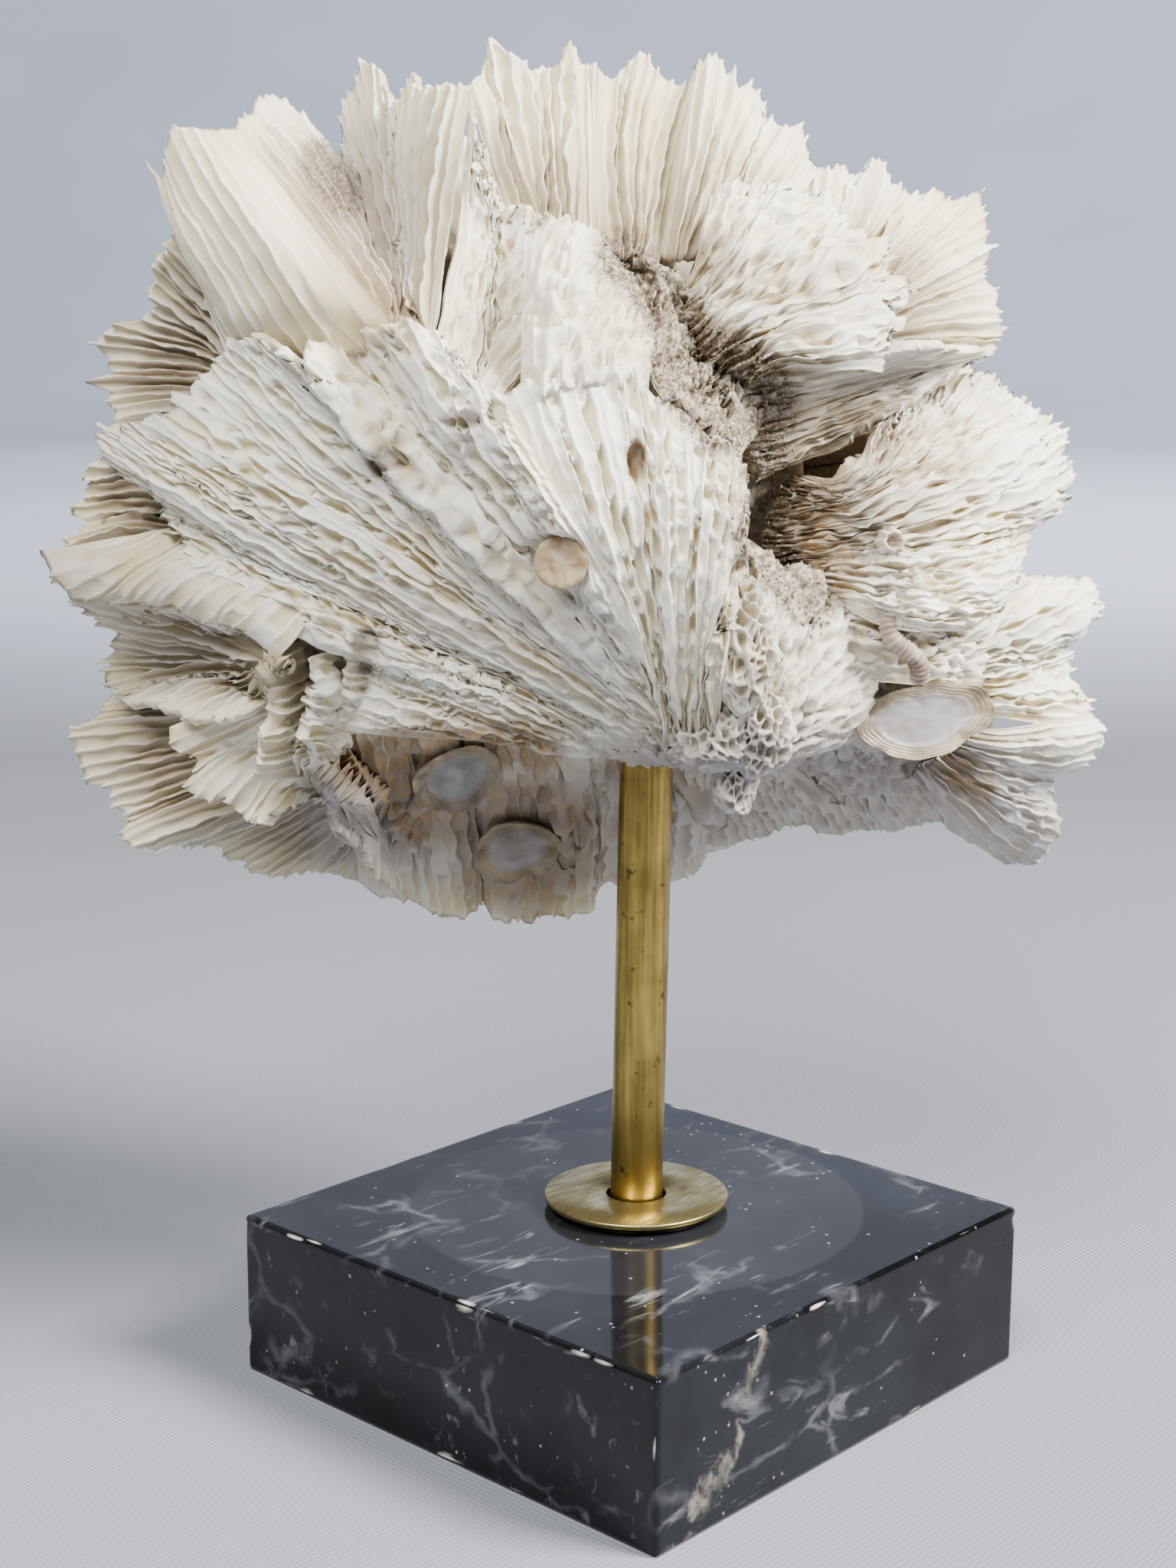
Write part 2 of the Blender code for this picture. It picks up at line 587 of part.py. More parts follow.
def marble_base(home, helpers, finish):
    cage = bmesh.new()
    bmesh.ops.create_cube(cage, size=1)
    bmesh.ops.scale(cage, vec=(BLOCK_SIDE, BLOCK_SIDE, BLOCK_HEIGHT), verts=cage.verts)
    block = object_of(mesh_of(cage, "marble_base"), "marble_base", home, finish)
    block.location = (0, 0, BLOCK_HEIGHT / 2)
    chamfer = block.modifiers.new("chamfer", "BEVEL")
    chamfer.width = BLOCK_CHAMFER
    chamfer.segments = 2
    socket_floor = BLOCK_HEIGHT - STEM_DEPTH_IN_BLOCK - GAP
    socket_top = BLOCK_HEIGHT + CUT_PAST
    socket = cylinder("stem_socket", helpers, STEM_RADIUS + GAP, socket_floor, socket_top, lean=STEM_LEAN)
    cut(block, cutter(socket))


def stem_and_collar(home, helpers, brass, glue):
    foot = BLOCK_HEIGHT - STEM_DEPTH_IN_BLOCK
    cylinder("brass_stem", home, STEM_RADIUS, foot, STEM_TOP, brass, STEM_LEAN)
    hole = cutter(cylinder(
        "collar_hole", helpers, COLLAR_HOLE_RADIUS, BLOCK_HEIGHT - CUT_PAST, BLOCK_HEIGHT + CUT_PAST))
    pad_bottom = BLOCK_HEIGHT + GAP
    pad = cylinder("glue_pad", home, PAD_RADIUS, pad_bottom, pad_bottom + PAD_THICKNESS, glue)
    cut(pad, hole)
    collar_bottom = pad_bottom + PAD_THICKNESS + GAP
    collar_top = collar_bottom + COLLAR_THICKNESS
    collar = cylinder("brass_collar", home, COLLAR_RADIUS, collar_bottom, collar_top, brass)
    cut(collar, hole)


def main():
    clear_scene()
    home = collection("mushroom_coral")
    helpers = collection("cutters")
    marble = material("black marble", (0.018, 0.018, 0.02), 0.12)
    brass = material("brass", (0.62, 0.45, 0.13), 0.3, 1.0)
    glue = material("glue", (0.02, 0.02, 0.02), 0.3)
    chalk = material("coral", (0.84, 0.81, 0.72), 0.7)
    nacre = material("oyster shell", (0.42, 0.38, 0.34), 0.4)
    tan = material("barnacle plate", (0.48, 0.38, 0.26), 0.7)
    lime = material("worm tube", (0.5, 0.42, 0.36), 0.8)

    marble_base(home, helpers, marble)
    stem_and_collar(home, helpers, brass, glue)
    colony = coral(home, helpers, chalk)
    bore = cylinder(
        "stem_bore", helpers, STEM_RADIUS + GAP, BORE_BOTTOM, STEM_TOP + GAP, lean=STEM_LEAN, segments=24)
    sockets = [bore]
    for name in OYSTERS:
        oyster(name, home, nacre)
        sockets.append(oyster(name + "_socket", helpers, grow=GAP))
    plate = (PLATE_SPOT, PLATE_FACING, PLATE_RADIUS, PLATE_RADIUS, PLATE_THICKNESS)
    low_cone("barnacle_plate", home, *plate, tan)
    sockets.append(low_cone("plate_socket", helpers, *plate, grow=GAP))
    barnacle = (BARNACLE_SPOT, BARNACLE_FACING, BARNACLE_RADIUS, BARNACLE_RADIUS * 0.6, BARNACLE_HEIGHT)
    low_cone("barnacle", home, *barnacle, lime)
    sockets.append(low_cone("barnacle_socket", helpers, *barnacle, grow=GAP))
    worm_tube("worm_tube", home, lime)
    sockets.append(worm_tube("worm_socket", helpers, grow=GAP))
    for socket in sockets:
        cut(colony, cutter(socket))


main()
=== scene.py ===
"""Mushroom coral on a stand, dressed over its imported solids: fluted leaves with their thin septa and cell
walls, the valves and tubes that grew on them, an aged brass stem and collar, and a polished black
marble block. Lengths are in millimetres in the tables, and in metres in the meshes."""

import itertools
import math

import bmesh
import bpy
import numpy as np
from mathutils import Matrix, Vector


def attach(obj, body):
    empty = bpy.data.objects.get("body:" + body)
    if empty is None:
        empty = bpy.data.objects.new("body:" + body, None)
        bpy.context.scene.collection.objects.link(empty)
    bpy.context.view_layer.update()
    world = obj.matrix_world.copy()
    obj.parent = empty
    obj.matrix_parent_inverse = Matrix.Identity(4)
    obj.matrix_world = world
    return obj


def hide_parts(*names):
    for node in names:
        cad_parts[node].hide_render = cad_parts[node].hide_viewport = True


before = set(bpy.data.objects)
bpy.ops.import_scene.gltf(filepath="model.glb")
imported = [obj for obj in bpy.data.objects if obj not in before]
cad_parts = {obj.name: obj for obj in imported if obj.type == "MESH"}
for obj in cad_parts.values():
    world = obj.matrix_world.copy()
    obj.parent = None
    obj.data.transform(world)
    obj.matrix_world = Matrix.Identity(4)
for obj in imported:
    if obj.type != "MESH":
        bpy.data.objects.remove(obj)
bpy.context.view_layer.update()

MM = 0.001

# Cloth, sky and lights. A light is its name, its place (right, near, up) seen from the show side and its
# size, all in metres, its power in watts, its colour and the place that it shines at.
FLAT_REACH = 3.0
SWEEP = 1.4
THREAD = 1.05  # mm from thread to thread of the cloth
SKY_STRENGTH = 0.1
LIGHTS = [
    ("window", 0.9, 0.32, 0.95, 0.5, 66, "FFFCF7", (0, 0, 0.12)),
    ("skylight", -0.3, 0.75, 1.15, 0.7, 31, "FFFDFA", (0, 0, 0.15)),
    ("backdrop", 0.6, -1.2, 1.7, 2.0, 340, "F2F5FF", (0.5, -4.4, 0.6)),
]

# Camera, fitted to the corners of the marble block in the photograph
CAMERA_PLACE = (0.2766, -0.3109, 0.1941)
CAMERA_RIGHT = (0.73287, 0.68036, 0.00379)
CAMERA_UP = (-0.13828, 0.14350, 0.97994)
CAMERA_LENS = 55.34
SENSOR = 36

# The stand, as the solids have it
BLOCK_SIDE = 100
BLOCK_HEIGHT = 30
BLOCK_ARRIS = 0.9
STEM_X = -1.8
STEM_Y = 2.9
STEM_RADIUS = 4.75
STEM_LEAN = math.radians(0.85)
STEM_FOOT = 16
STEM_TOP = 142
COLLAR_RADIUS = 16.8
COLLAR_BOTTOM = 31.4
COLLAR_THICKNESS = 1.0
COLLAR_HOLE_RADIUS = 5.5
PAD_RADIUS = 15.6
PAD_BOTTOM = 30.3
PAD_THICKNESS = 0.8

# The coral's show side faces this far round from the block's -Y side, about Z.
SHOW_SIDE = math.radians(42.8)

# The coral is laid out as it looks from in front of its show side. A point (x, z, near) is in
# millimetres: x to the right and z up, both as they look in the plane of the stem, and near is how far
# in front of that plane the point really lies. The eye is at (right, near, up).
EYE = (-9.0, 419.0, 194.0)

# The mass behind the leaves, and then the lumps of the old foot: centre (x, z, near) and radii
# (right, up, near).
HEARTS = [
    ((-4, 182, -26), (44, 24, 24)),
    ((10, 132, -4), (26, 22, 26)),
    ((42, 123, -14), (25, 20, 18)),
    ((-64, 197, -4), (15, 19, 11)),
    ((-38, 154, 0), (34, 20, 17)),
    ((-18, 162, 5), (36, 19, 21)),
]
FOOT_LUMPS = [
    ((14, 118, 20), (11, 7, 8)),
    ((17, 109, 19), (4.5, 5.5, 4)),
    ((21, 119, 22), (6, 9, 6)),
    ((18, 134, 27), (6.5, 12, 6)),
]


def fan(root, rim, bulge=(0, 0, 0), ruffle=(0, 1, 0), wall=1.0):
    """One leaf of the coral: it runs from its root line out to its rim line, bulges by (right, up, near)
    halfway, and waves in and out by ruffle's (millimetres, number of waves, share of a wave at its start)."""
    return {"root": root, "rim": rim, "bulge": bulge, "ruffle": ruffle, "wall": wall}


FANS = {
    # The two great fans of the underside, which meet at the old foot of the colony
    "front_left": fan(
        [(-8, 117, 10), (0, 121, 20), (5, 130, 28)],
        [(-56, 119, 8), (-50, 130, 14), (-60, 141, 15), (-79, 147, 12), (-83, 157, 9), (-95, 171, 6),
         (-84, 173, 12), (-78, 180, 12), (-72, 186, 17), (-66, 188, 20), (-59, 184, 28), (-53, 188, 24),
         (-44, 190, 31), (-36, 188, 33), (-31, 181, 36), (-24, 177, 37)],
        bulge=(0, 0, 7), ruffle=(0.9, 7, 0.2)),
    "front_right": fan(
        [(3, 122, 24), (8, 119, 22), (14, 122, 24)],
        [(-24, 177, 37), (-19, 180, 36), (-12, 182, 35), (-5, 183, 34), (2, 178, 34), (8, 174, 33),
         (14, 171, 33), (17, 160, 31), (14, 152, 30), (16, 146, 29)],
        bulge=(0, 0, 7)),
    # Valleys of the upper side that show over the top and down the left
    "top_left_funnel": fan(
        [(-45, 189, 28), (-41, 190, 24), (-36, 188, 28)],
        [(-69, 221, 6), (-68, 225, 0), (-64, 226, -6), (-60, 225, -11), (-56, 221, -15), (-53, 215, -19),
         (-49, 228, -20), (-45, 232, -16), (-42, 226, -10), (-40, 229, -5), (-33, 230, 5), (-29, 228, 8)],
        bulge=(0, 0, -5)),
    "top_left_blade": fan(
        [(-72, 186, 14), (-62, 187, 20), (-50, 189, 27), (-44, 190, 29)],
        [(-84, 216, 4), (-81, 213, 8), (-79, 222, 6), (-74, 221, 8), (-69, 221, 7)],
        bulge=(-1, -1, 5.2), wall=1.5),
    "left_funnel_high": fan(
        [(-68, 186, 4), (-65, 180, 0), (-68, 174, 2)],
        [(-73, 203, 6), (-79, 206, 1), (-82, 202, -3), (-86, 202, -6), (-89, 194, -9), (-95, 186, -11),
         (-97, 180, -10), (-96, 174, -7), (-94, 166, -1)],
        bulge=(2, 0, -6)),
    "left_lobe": fan(
        [(-82, 167, 4), (-79, 157, 6), (-79, 149, 8)],
        [(-94, 170, -6), (-96, 165, -8), (-101, 159, -10), (-99, 154, -8), (-104, 151, -5), (-105, 148, -3),
         (-103, 144, -1)],
        bulge=(2, 0, -5)),
    "left_lip": fan(
        [(-86, 153, 4), (-78, 149, 10), (-68, 144, 15), (-58, 138, 20)],
        [(-105, 150, -1), (-103, 144, 2), (-99, 141, 3), (-88, 141, 7), (-78, 139, 12), (-70, 136, 16),
         (-64, 131, 20)],
        bulge=(0, 0, 3), wall=1.4),
    "left_funnel": fan(
        [(-63, 132, 20), (-65, 130, 16), (-66, 127, 18)],
        [(-70, 136, 16), (-78, 139, 12), (-88, 141, 6), (-99, 141, 0), (-98, 137, -6), (-96, 134, -9),
         (-97, 131, -11), (-95, 128, -11), (-96, 124, -9), (-92, 122, -3), (-87, 122, 3), (-82, 120, 8),
         (-76, 119, 13), (-70, 121, 17)],
        bulge=(3, 0, -6)),
    "left_low_sheet": fan(
        [(-62, 124, -2), (-54, 113, -4), (-45, 104, -8)],
        [(-93, 125, -17), (-96, 121, -16), (-101, 117, -14), (-98, 112, -14), (-97, 106, -14),
         (-92, 101, -14), (-94, 97, -12), (-90, 96, -13), (-80, 97, -17), (-70, 93, -20), (-65, 91, -20),
         (-58, 92, -22), (-50, 91, -24)],
        bulge=(0, 0, -4)),
    "left_low_lip": fan(
        [(-64, 124, 10), (-58, 113, 7), (-48, 104, 0)],
        [(-83, 119, 8), (-83, 113, 9), (-79, 107, 9), (-74, 104, 8), (-69, 101, 7), (-65, 103, 5),
         (-60, 104, 4), (-56, 102, 2), (-52, 97, -2), (-48, 92, -7), (-43, 88, -12)],
        bulge=(0, 0, -6), ruffle=(1.5, 5, 0)),
    "pocket_wall_a": fan([(-60, 133, 12), (-61, 110, 5)], [(-67, 130, 20), (-66, 121, 18), (-69, 109, 12)]),
    "pocket_wall_b": fan([(-53, 133, 12), (-55, 112, 4)], [(-58, 131, 21), (-60, 121, 19), (-60, 112, 13)]),
    "pocket_wall_c": fan([(-46, 133, 12), (-50, 118, 4)], [(-51, 133, 20), (-54, 125, 18), (-56, 117, 12)]),
    # The dark underside behind the stem
    "underside": fan(
        [(-54, 121, 0), (-30, 121, -5), (-8, 117, -7), (14, 114, -6)],
        [(-50, 91, -24), (-43, 87, -25), (-38, 86, -26), (-32, 83, -27), (-28, 87, -28), (-25, 84, -28),
         (-16, 85, -29), (-10, 84, -30), (-8, 89, -31), (-3, 90, -32), (3, 91, -33), (9, 92, -34),
         (12, 96, -35)],
        bulge=(0, 0, -2), wall=1.3),
    "underside_right": fan(
        [(10, 115, -8), (22, 117, -3), (34, 119, 1), (44, 118, 2)],
        [(12, 96, -35), (18, 98, -35), (26, 101, -33), (36, 101, -30), (45, 101, -27), (53, 102, -23),
         (58, 103, -20)],
        bulge=(0, 0, -2)),
    "right_low_fan": fan(
        [(48, 109, 0), (56, 113, 4), (62, 119, 6)],
        [(57, 103, -18), (61, 99, -16), (66, 95, -14), (70, 95, -13), (76, 101, -9), (74, 104, -8),
         (74, 110, -6), (79, 113, -4), (83, 118, -2), (80, 122, 0)],
        bulge=(0, 0, 3)),
    "right_mid_fan": fan(
        [(46, 124, 6), (52, 131, 8), (54, 139, 8)],
        [(82, 119, -4), (80, 123, -5), (78, 127, -6), (75, 132, -8), (77, 138, -10), (81, 141, -12),
         (79, 145, -12), (70, 145, -10), (65, 147, -8)],
        bulge=(0, 0, 3)),
    "right_lobe": fan(
        [(32, 142, 10), (28, 153, 6), (30, 163, 4)],
        [(58, 138, 6), (67, 147, -1), (69, 156, -6), (74, 163, -10), (74, 168, -11), (72, 174, -12),
         (66, 178, -12), (58, 181, -10), (50, 179, -6), (40, 172, 2)],
        bulge=(0, -2, 10)),
    "worm_slope": fan(
        [(31, 148, 10), (34, 140, 13), (36, 128, 13)],
        [(54, 149, 10), (57, 142, 9), (61, 133, 7), (60, 126, 8)],
        bulge=(0, 0, 1)),
    "grey_patch": fan(
        [(20, 112, 18), (22, 120, 22), (20, 132, 24)],
        [(38, 117, 11), (41, 124, 12), (38, 132, 13), (36, 140, 13), (31, 147, 12), (24, 150, 16),
         (18, 153, 22)],
        bulge=(0, 0, 2)),
    # Upper right
    "right_high_under": fan(
        [(21, 163, 6), (20, 172, 9), (20, 183, 12)],
        [(34, 168, 4), (44, 174, 5), (51, 178, 4), (61, 185, 0), (52, 186, 8), (44, 184, 12)],
        bulge=(0, 0, -3)),
    "right_high_near": fan(
        [(8, 197, 10), (14, 187, 14), (24, 182, 16)],
        [(12, 212, 2), (20, 214, 0), (28, 213, 1), (36, 208, 3), (43, 201, 6), (46, 195, 8), (45, 188, 11),
         (41, 181, 13)],
        bulge=(0, 0, 4), ruffle=(1.6, 4, 0)),
    "right_high_far": fan(
        [(28, 200, 0), (36, 194, 2), (42, 184, 5)],
        [(27, 215, -6), (33, 216, -9), (36, 214, -11), (40, 218, -13), (43, 213, -14), (50, 211, -15),
         (57, 210, -16), (58, 203, -14), (60, 197, -12), (63, 191, -9), (62, 187, -6), (60, 184, -2)],
        bulge=(0, 0, 3), ruffle=(1.2, 5, 0)),
    # Top
    "top_left_fan": fan(
        [(-24, 208, 10), (-17, 206, 10), (-8, 204, 12)],
        [(-30, 228, 3), (-28, 231, 0), (-25, 235, -2), (-18, 233, -4), (-14, 234, -5), (-13, 236, -6),
         (-11, 234, -6), (-8, 232, -6)],
        bulge=(0, 0, -3), ruffle=(1.2, 3, 0)),
    "top_mid_fan": fan(
        [(-8, 204, 11), (-3, 202, 9), (3, 201, 8)],
        [(-9, 232, -6), (-6, 230, -8), (-1, 234, -11), (3, 231, -11), (8, 230, -12), (10, 232, -12)],
        bulge=(0, 0, -3)),
    "top_right_fan": fan(
        [(4, 203, 8), (11, 203, 8), (20, 202, 6)],
        [(8, 231, -12), (10, 234, -13), (15, 231, -13), (19, 227, -12), (20, 223, -10), (25, 223, -9),
         (27, 218, -7), (29, 214, -4)],
        bulge=(0, 0, 2)),
    "hollow_wall": fan(
        [(-35, 186, 29), (-28, 181, 25), (-22, 179, 31)],
        [(-29, 228, 8), (-26, 218, 10), (-22, 210, 12), (-16, 208, 14), (-9, 206, 14), (-7, 200, 18)],
        bulge=(0, 0, -5)),
    "web_wall": fan(
        [(-21, 178, 35), (-10, 181, 34), (1, 179, 33)],
        [(-20, 204, 16), (-12, 207, 15), (-6, 203, 14), (-2, 197, 16), (2, 190, 19)],
        bulge=(0, 0, 3)),
    "brown_hollow": fan(
        [(2, 179, 30), (9, 173, 27), (17, 166, 26)],
        [(-5, 203, 12), (2, 200, 12), (8, 196, 11), (15, 190, 12), (20, 184, 14), (22, 175, 13)],
        bulge=(0, 0, -7)),
}

# The upper side of the colony, which faces away from the show side: long valleys that radiate from the
# middle of the back, with one thin high wall between each two. Seeds stand in rings about the back's
# middle, one for each stretch of valley, and a wall stands halfway between seeds of different valleys.
BACK_CENTRE = (-12, 159, -24)
BACK_REACH = (80, 68, 61)  # right, up, near, from the centre to the walls' crests
BACK_HALVES = np.array([BACK_REACH[0], BACK_REACH[2], BACK_REACH[1]])  # right, near, up
BACK_FLOOR = 0.58  # the valley floors' distance from the centre, as a share of the reach
BACK_RINGS = [(14, 4), (40, 11), (66, 15), (92, 17)]  # degrees from the back's middle, and seeds in the ring
BACK_SIZE = 72  # mm, the back's mean radius
BACK_WANDER = 0.06  # how far its walls wander, as a share of that radius
BACK_PITCH = 2.2  # mm from rib to rib
VALLEY_STRETCH = 0.6
WALL_FOOT = 4.5  # mm, how fast a wall widens towards its foot
WALL_HALF = 0.9
JOINED_VALLEYS = 0.5  # the share of seeds whose valley runs on into the next ring


def style(ribs, relief, sway, lens, cross, rough, tooth, notch, pores=0.0):
    """The looks of one side of a leaf: millimetres from rib to rib, how high they stand, how far they sway
    as a share of their spacing and over what length, how thick with cross walls, how uneven the whole is,
    how far ribs run past the rim, how ragged the rim is, and the size of pores that may stand for ribs."""
    return dict(ribs=ribs, relief=relief, sway=sway, lens=lens, cross=cross, rough=rough, tooth=tooth,
                notch=notch, pores=pores)


CELLS = style(2.1, 2.6, 0.29, 10, 0.9, 0.6, 0.4, 2.2)
BRICKS = style(2.2, 2.6, 0.12, 14, 1.3, 0.4, 0.3, 2.2)
SEPTA = style(2.4, 2.3, 0.1, 12, 0, 0.6, 0.8, 3.2)
BLADE = style(2.3, 0.34, 0.06, 12, 0, 0.5, 0.1, 1.6)
PLATE = style(3.2, 0.7, 0.1, 8, 0.2, 0.6, 0.4, 2.2)
SCALES = style(1.9, 2.2, 0.3, 5, 0.6, 1.4, 0.8, 3.2)
FAINT = style(2.2, 1.3, 0.2, 6, 0.4, 0.9, 0.5, 2.0)
CRUST = style(1.9, 2.4, 0, 10, 0, 1.2, 0.2, 1.2, pores=2.3)
PITTED = style(2.2, 2.4, 0, 10, 0, 0.9, 0.5, 1.6, pores=2.7)

# The two sides of each leaf, and the first is the side that faces the viewer.
LEAF_STYLES = {
    "front_left": (CELLS, PLATE), "front_right": (BRICKS, PLATE),
    "top_left_funnel": (SEPTA, FAINT), "top_left_blade": (BLADE, SEPTA),
    "left_funnel_high": (SEPTA, FAINT), "left_lobe": (SEPTA, FAINT), "left_lip": (PLATE, SEPTA),
    "left_funnel": (SEPTA, FAINT), "left_low_sheet": (SEPTA, FAINT), "left_low_lip": (FAINT, SEPTA),
    "pocket_wall_a": (SEPTA, FAINT), "pocket_wall_b": (SCALES, FAINT), "pocket_wall_c": (SEPTA, FAINT),
    "underside": (FAINT, SEPTA), "underside_right": (FAINT, SEPTA), "right_low_fan": (FAINT, SEPTA),
    "right_mid_fan": (SCALES, SEPTA), "right_lobe": (SCALES, SEPTA), "worm_slope": (CRUST, FAINT),
    "grey_patch": (PITTED, FAINT), "right_high_under": (FAINT, FAINT), "right_high_near": (SCALES, SEPTA),
    "right_high_far": (SEPTA, FAINT), "top_left_fan": (SEPTA, FAINT), "top_mid_fan": (SEPTA, FAINT),
    "top_right_fan": (SEPTA, FAINT), "hollow_wall": (SCALES, SEPTA), "web_wall": (PITTED, FAINT),
    "brown_hollow": (CRUST, FAINT),
}
PIECES = {
    "coral_front_left": ["front_left"],
    "coral_front_right": ["front_right", "web_wall", "brown_hollow", "grey_patch"],
    "coral_top_left": ["top_left_funnel", "top_left_blade", "hollow_wall"],
    "coral_left": ["left_funnel_high", "left_lobe", "left_lip", "left_funnel"],
    "coral_low_left": ["left_low_sheet", "left_low_lip", "pocket_wall_a", "pocket_wall_b", "pocket_wall_c"],
    "coral_underside": ["underside", "underside_right", "right_low_fan"],
    "coral_right": ["right_mid_fan", "right_lobe", "worm_slope"],
    "coral_high_right": ["right_high_under", "right_high_near", "right_high_far"],
    "coral_top": ["top_left_fan", "top_mid_fan", "top_right_fan"],
}

# One rib takes six columns of a leaf's grid: its crest, its flanks and the groove to the next rib.
COLUMNS = 6
RIB_SIDE = np.array([0, 1, 1, 0, -1, -1])
RIB_HALF = np.array([0, 0.2, 0.42, 0, 0.42, 0.2])  # mm from the crest
RIB_MOST = np.array([0, 0.13, 0.27, 0, 0.27, 0.13])  # the most that may be, as a share of the spacing
RIB_SHAPE = np.array([1, 0.8, 0.1, 0, 0.1, 0.8])
RIB_LOOSE = 0.24  # how far a rib strays from even spacing, as a share of it
TOOTH = 1.6  # mm, how far the longest ribs run past a rim
CYCLES = np.array([1.0, 0.8, 0.6])  # heights of first, second and third ribs
ROW = 1.0  # mm between rows of the finer side
FINE_ROW = 0.7
FINE_LEAVES = ("front_left", "front_right")
BACK_ROW = 2.4
ROOT_PAST = 0.12  # how far a leaf runs on below its root line, as a share of its height
ROOT_WALL = 3.0  # mm, a leaf's thickness at its root
RIM_WALL = 0.9
WALL_GAP = 4.6  # mm between cross walls where they are closest

BACK_SEED = 7
BACK_ROWS = 14
BACK_RIBS = 24
BACK_SEPTUM = 1.8  # mm, how high the ribs of the back stand
BACK_DEPTH = 30  # mm, about how far it is down from a crest to its valley's middle
BACK_REACH_LIMIT = 44  # mm, how far a valley's end can lie from its seed
CORE_SHARE = 0.56
HEART_SHRINK = 3.0  # mm, so that no heart shows through a leaf
BARE_HEARTS = (2, 3)  # the hearts that are to be seen between the leaves from behind

# Leaves that are seen into, and so are painted darker towards their roots, as shade
SHADED_LEAVES = ("left_funnel_high", "left_lobe", "left_funnel", "top_left_funnel", "left_low_sheet")
# Leaves that join side by side, and lose their bulge towards that side
JOINED_SIDES = ("top_left_funnel", "top_left_blade")

# What grew on the coral, where the solids have it. An oyster has its place (x, z, near), the way it faces
# (right, up, near), its two radii in millimetres and its turn in degrees.
OYSTERS = {
    "oyster_left": ((-32.5, 110, -6), (0.15, -0.35, 0.9), (7.6, 6.6), 20),
    "oyster_lower": ((-22, 97, -17), (0.1, -0.5, 0.85), (7.2, 8.2), -25),
    "oyster_right": ((50, 120.5, 12.5), (0.1, 0.25, 0.95), (11.5, 6.6), 5),
}
OYSTER_LIP = 1.0  # how high the lip stands, as a share of its drawn profile
BARNACLE_SPOT = (43.4, 152, 13.5)
BARNACLE_FACING = (0.15, 0.2, 1)
WORM_PATH = [(43.7, 144, 13.5), (43.2, 139.5, 16.2), (44, 135.5, 17.2), (46.6, 133, 17), (48.8, 131, 16.4),
             (49.2, 128, 15)]
WORM_RADIUS = 1.8
WORM_RINGS = 0.9  # mm from ring to ring
WORM_RING_DEPTH = 0.3
PLATE_FACING = (-0.1, -0.12, 1)
GRAINS = 0.55  # to a square millimetre, where the coral is grittiest
GRAIN_RADIUS = 0.36
GRAIN_SEED = 5
DULL_RADIUS = 42  # mm, a worn round on the marble's top about the rod

# The round plate that a barnacle left
PLATE_SPOT = (-14, 148.3, 38.5)
PLATE_CALM = (5.0, 7.5)  # mm from its middle: the coral is even inside the first, and ribbed outside both


# Folds that push a leaf towards the viewer or away: a line of (x, z) as it looks, its reach and its
# height, in millimetres.
SWELLS = [
    ([(-65.5, 188.5), (-60, 186), (-57, 179), (-52, 170)], 6, 2.2),
    ([(-48, 176), (-40, 169), (-33, 163)], 6.5, -2.6),
    ([(-36, 186), (-24, 172), (-12, 156)], 7, 1.0),
    ([(-80, 160), (-60, 152), (-36, 140)], 8, 1.2),
    ([(-86, 153), (-60, 143), (-36, 132)], 6, -1.2),
]
# Holes and hollows in the near face: place (x, z), radii and depth.
PITS = [
    ((-1, 165.7), (1.7, 3.2), 4.5),
    ((17.5, 145), (2.6, 4.0), 3.0),
    ((7, 182), (3.5, 2.4), 3.0),
    ((10, 174.5), (5.4, 4.6), 3.4),
    ((-48, 132.5), (2.2, 3.8), 3.0),
    ((30, 157), (4.0, 5.0), 2.5),
    ((-44, 165.5), (3.6, 2.2), 3.2),
    ((-30, 172.5), (2.2, 1.6), 2.6),
    ((-25.4, 173.6), (1.7, 2.1), 2.6),
    ((-33.5, 176.6), (1.6, 1.3), 2.0),
    ((-38, 160.5), (1.3, 1.9), 1.8),
]
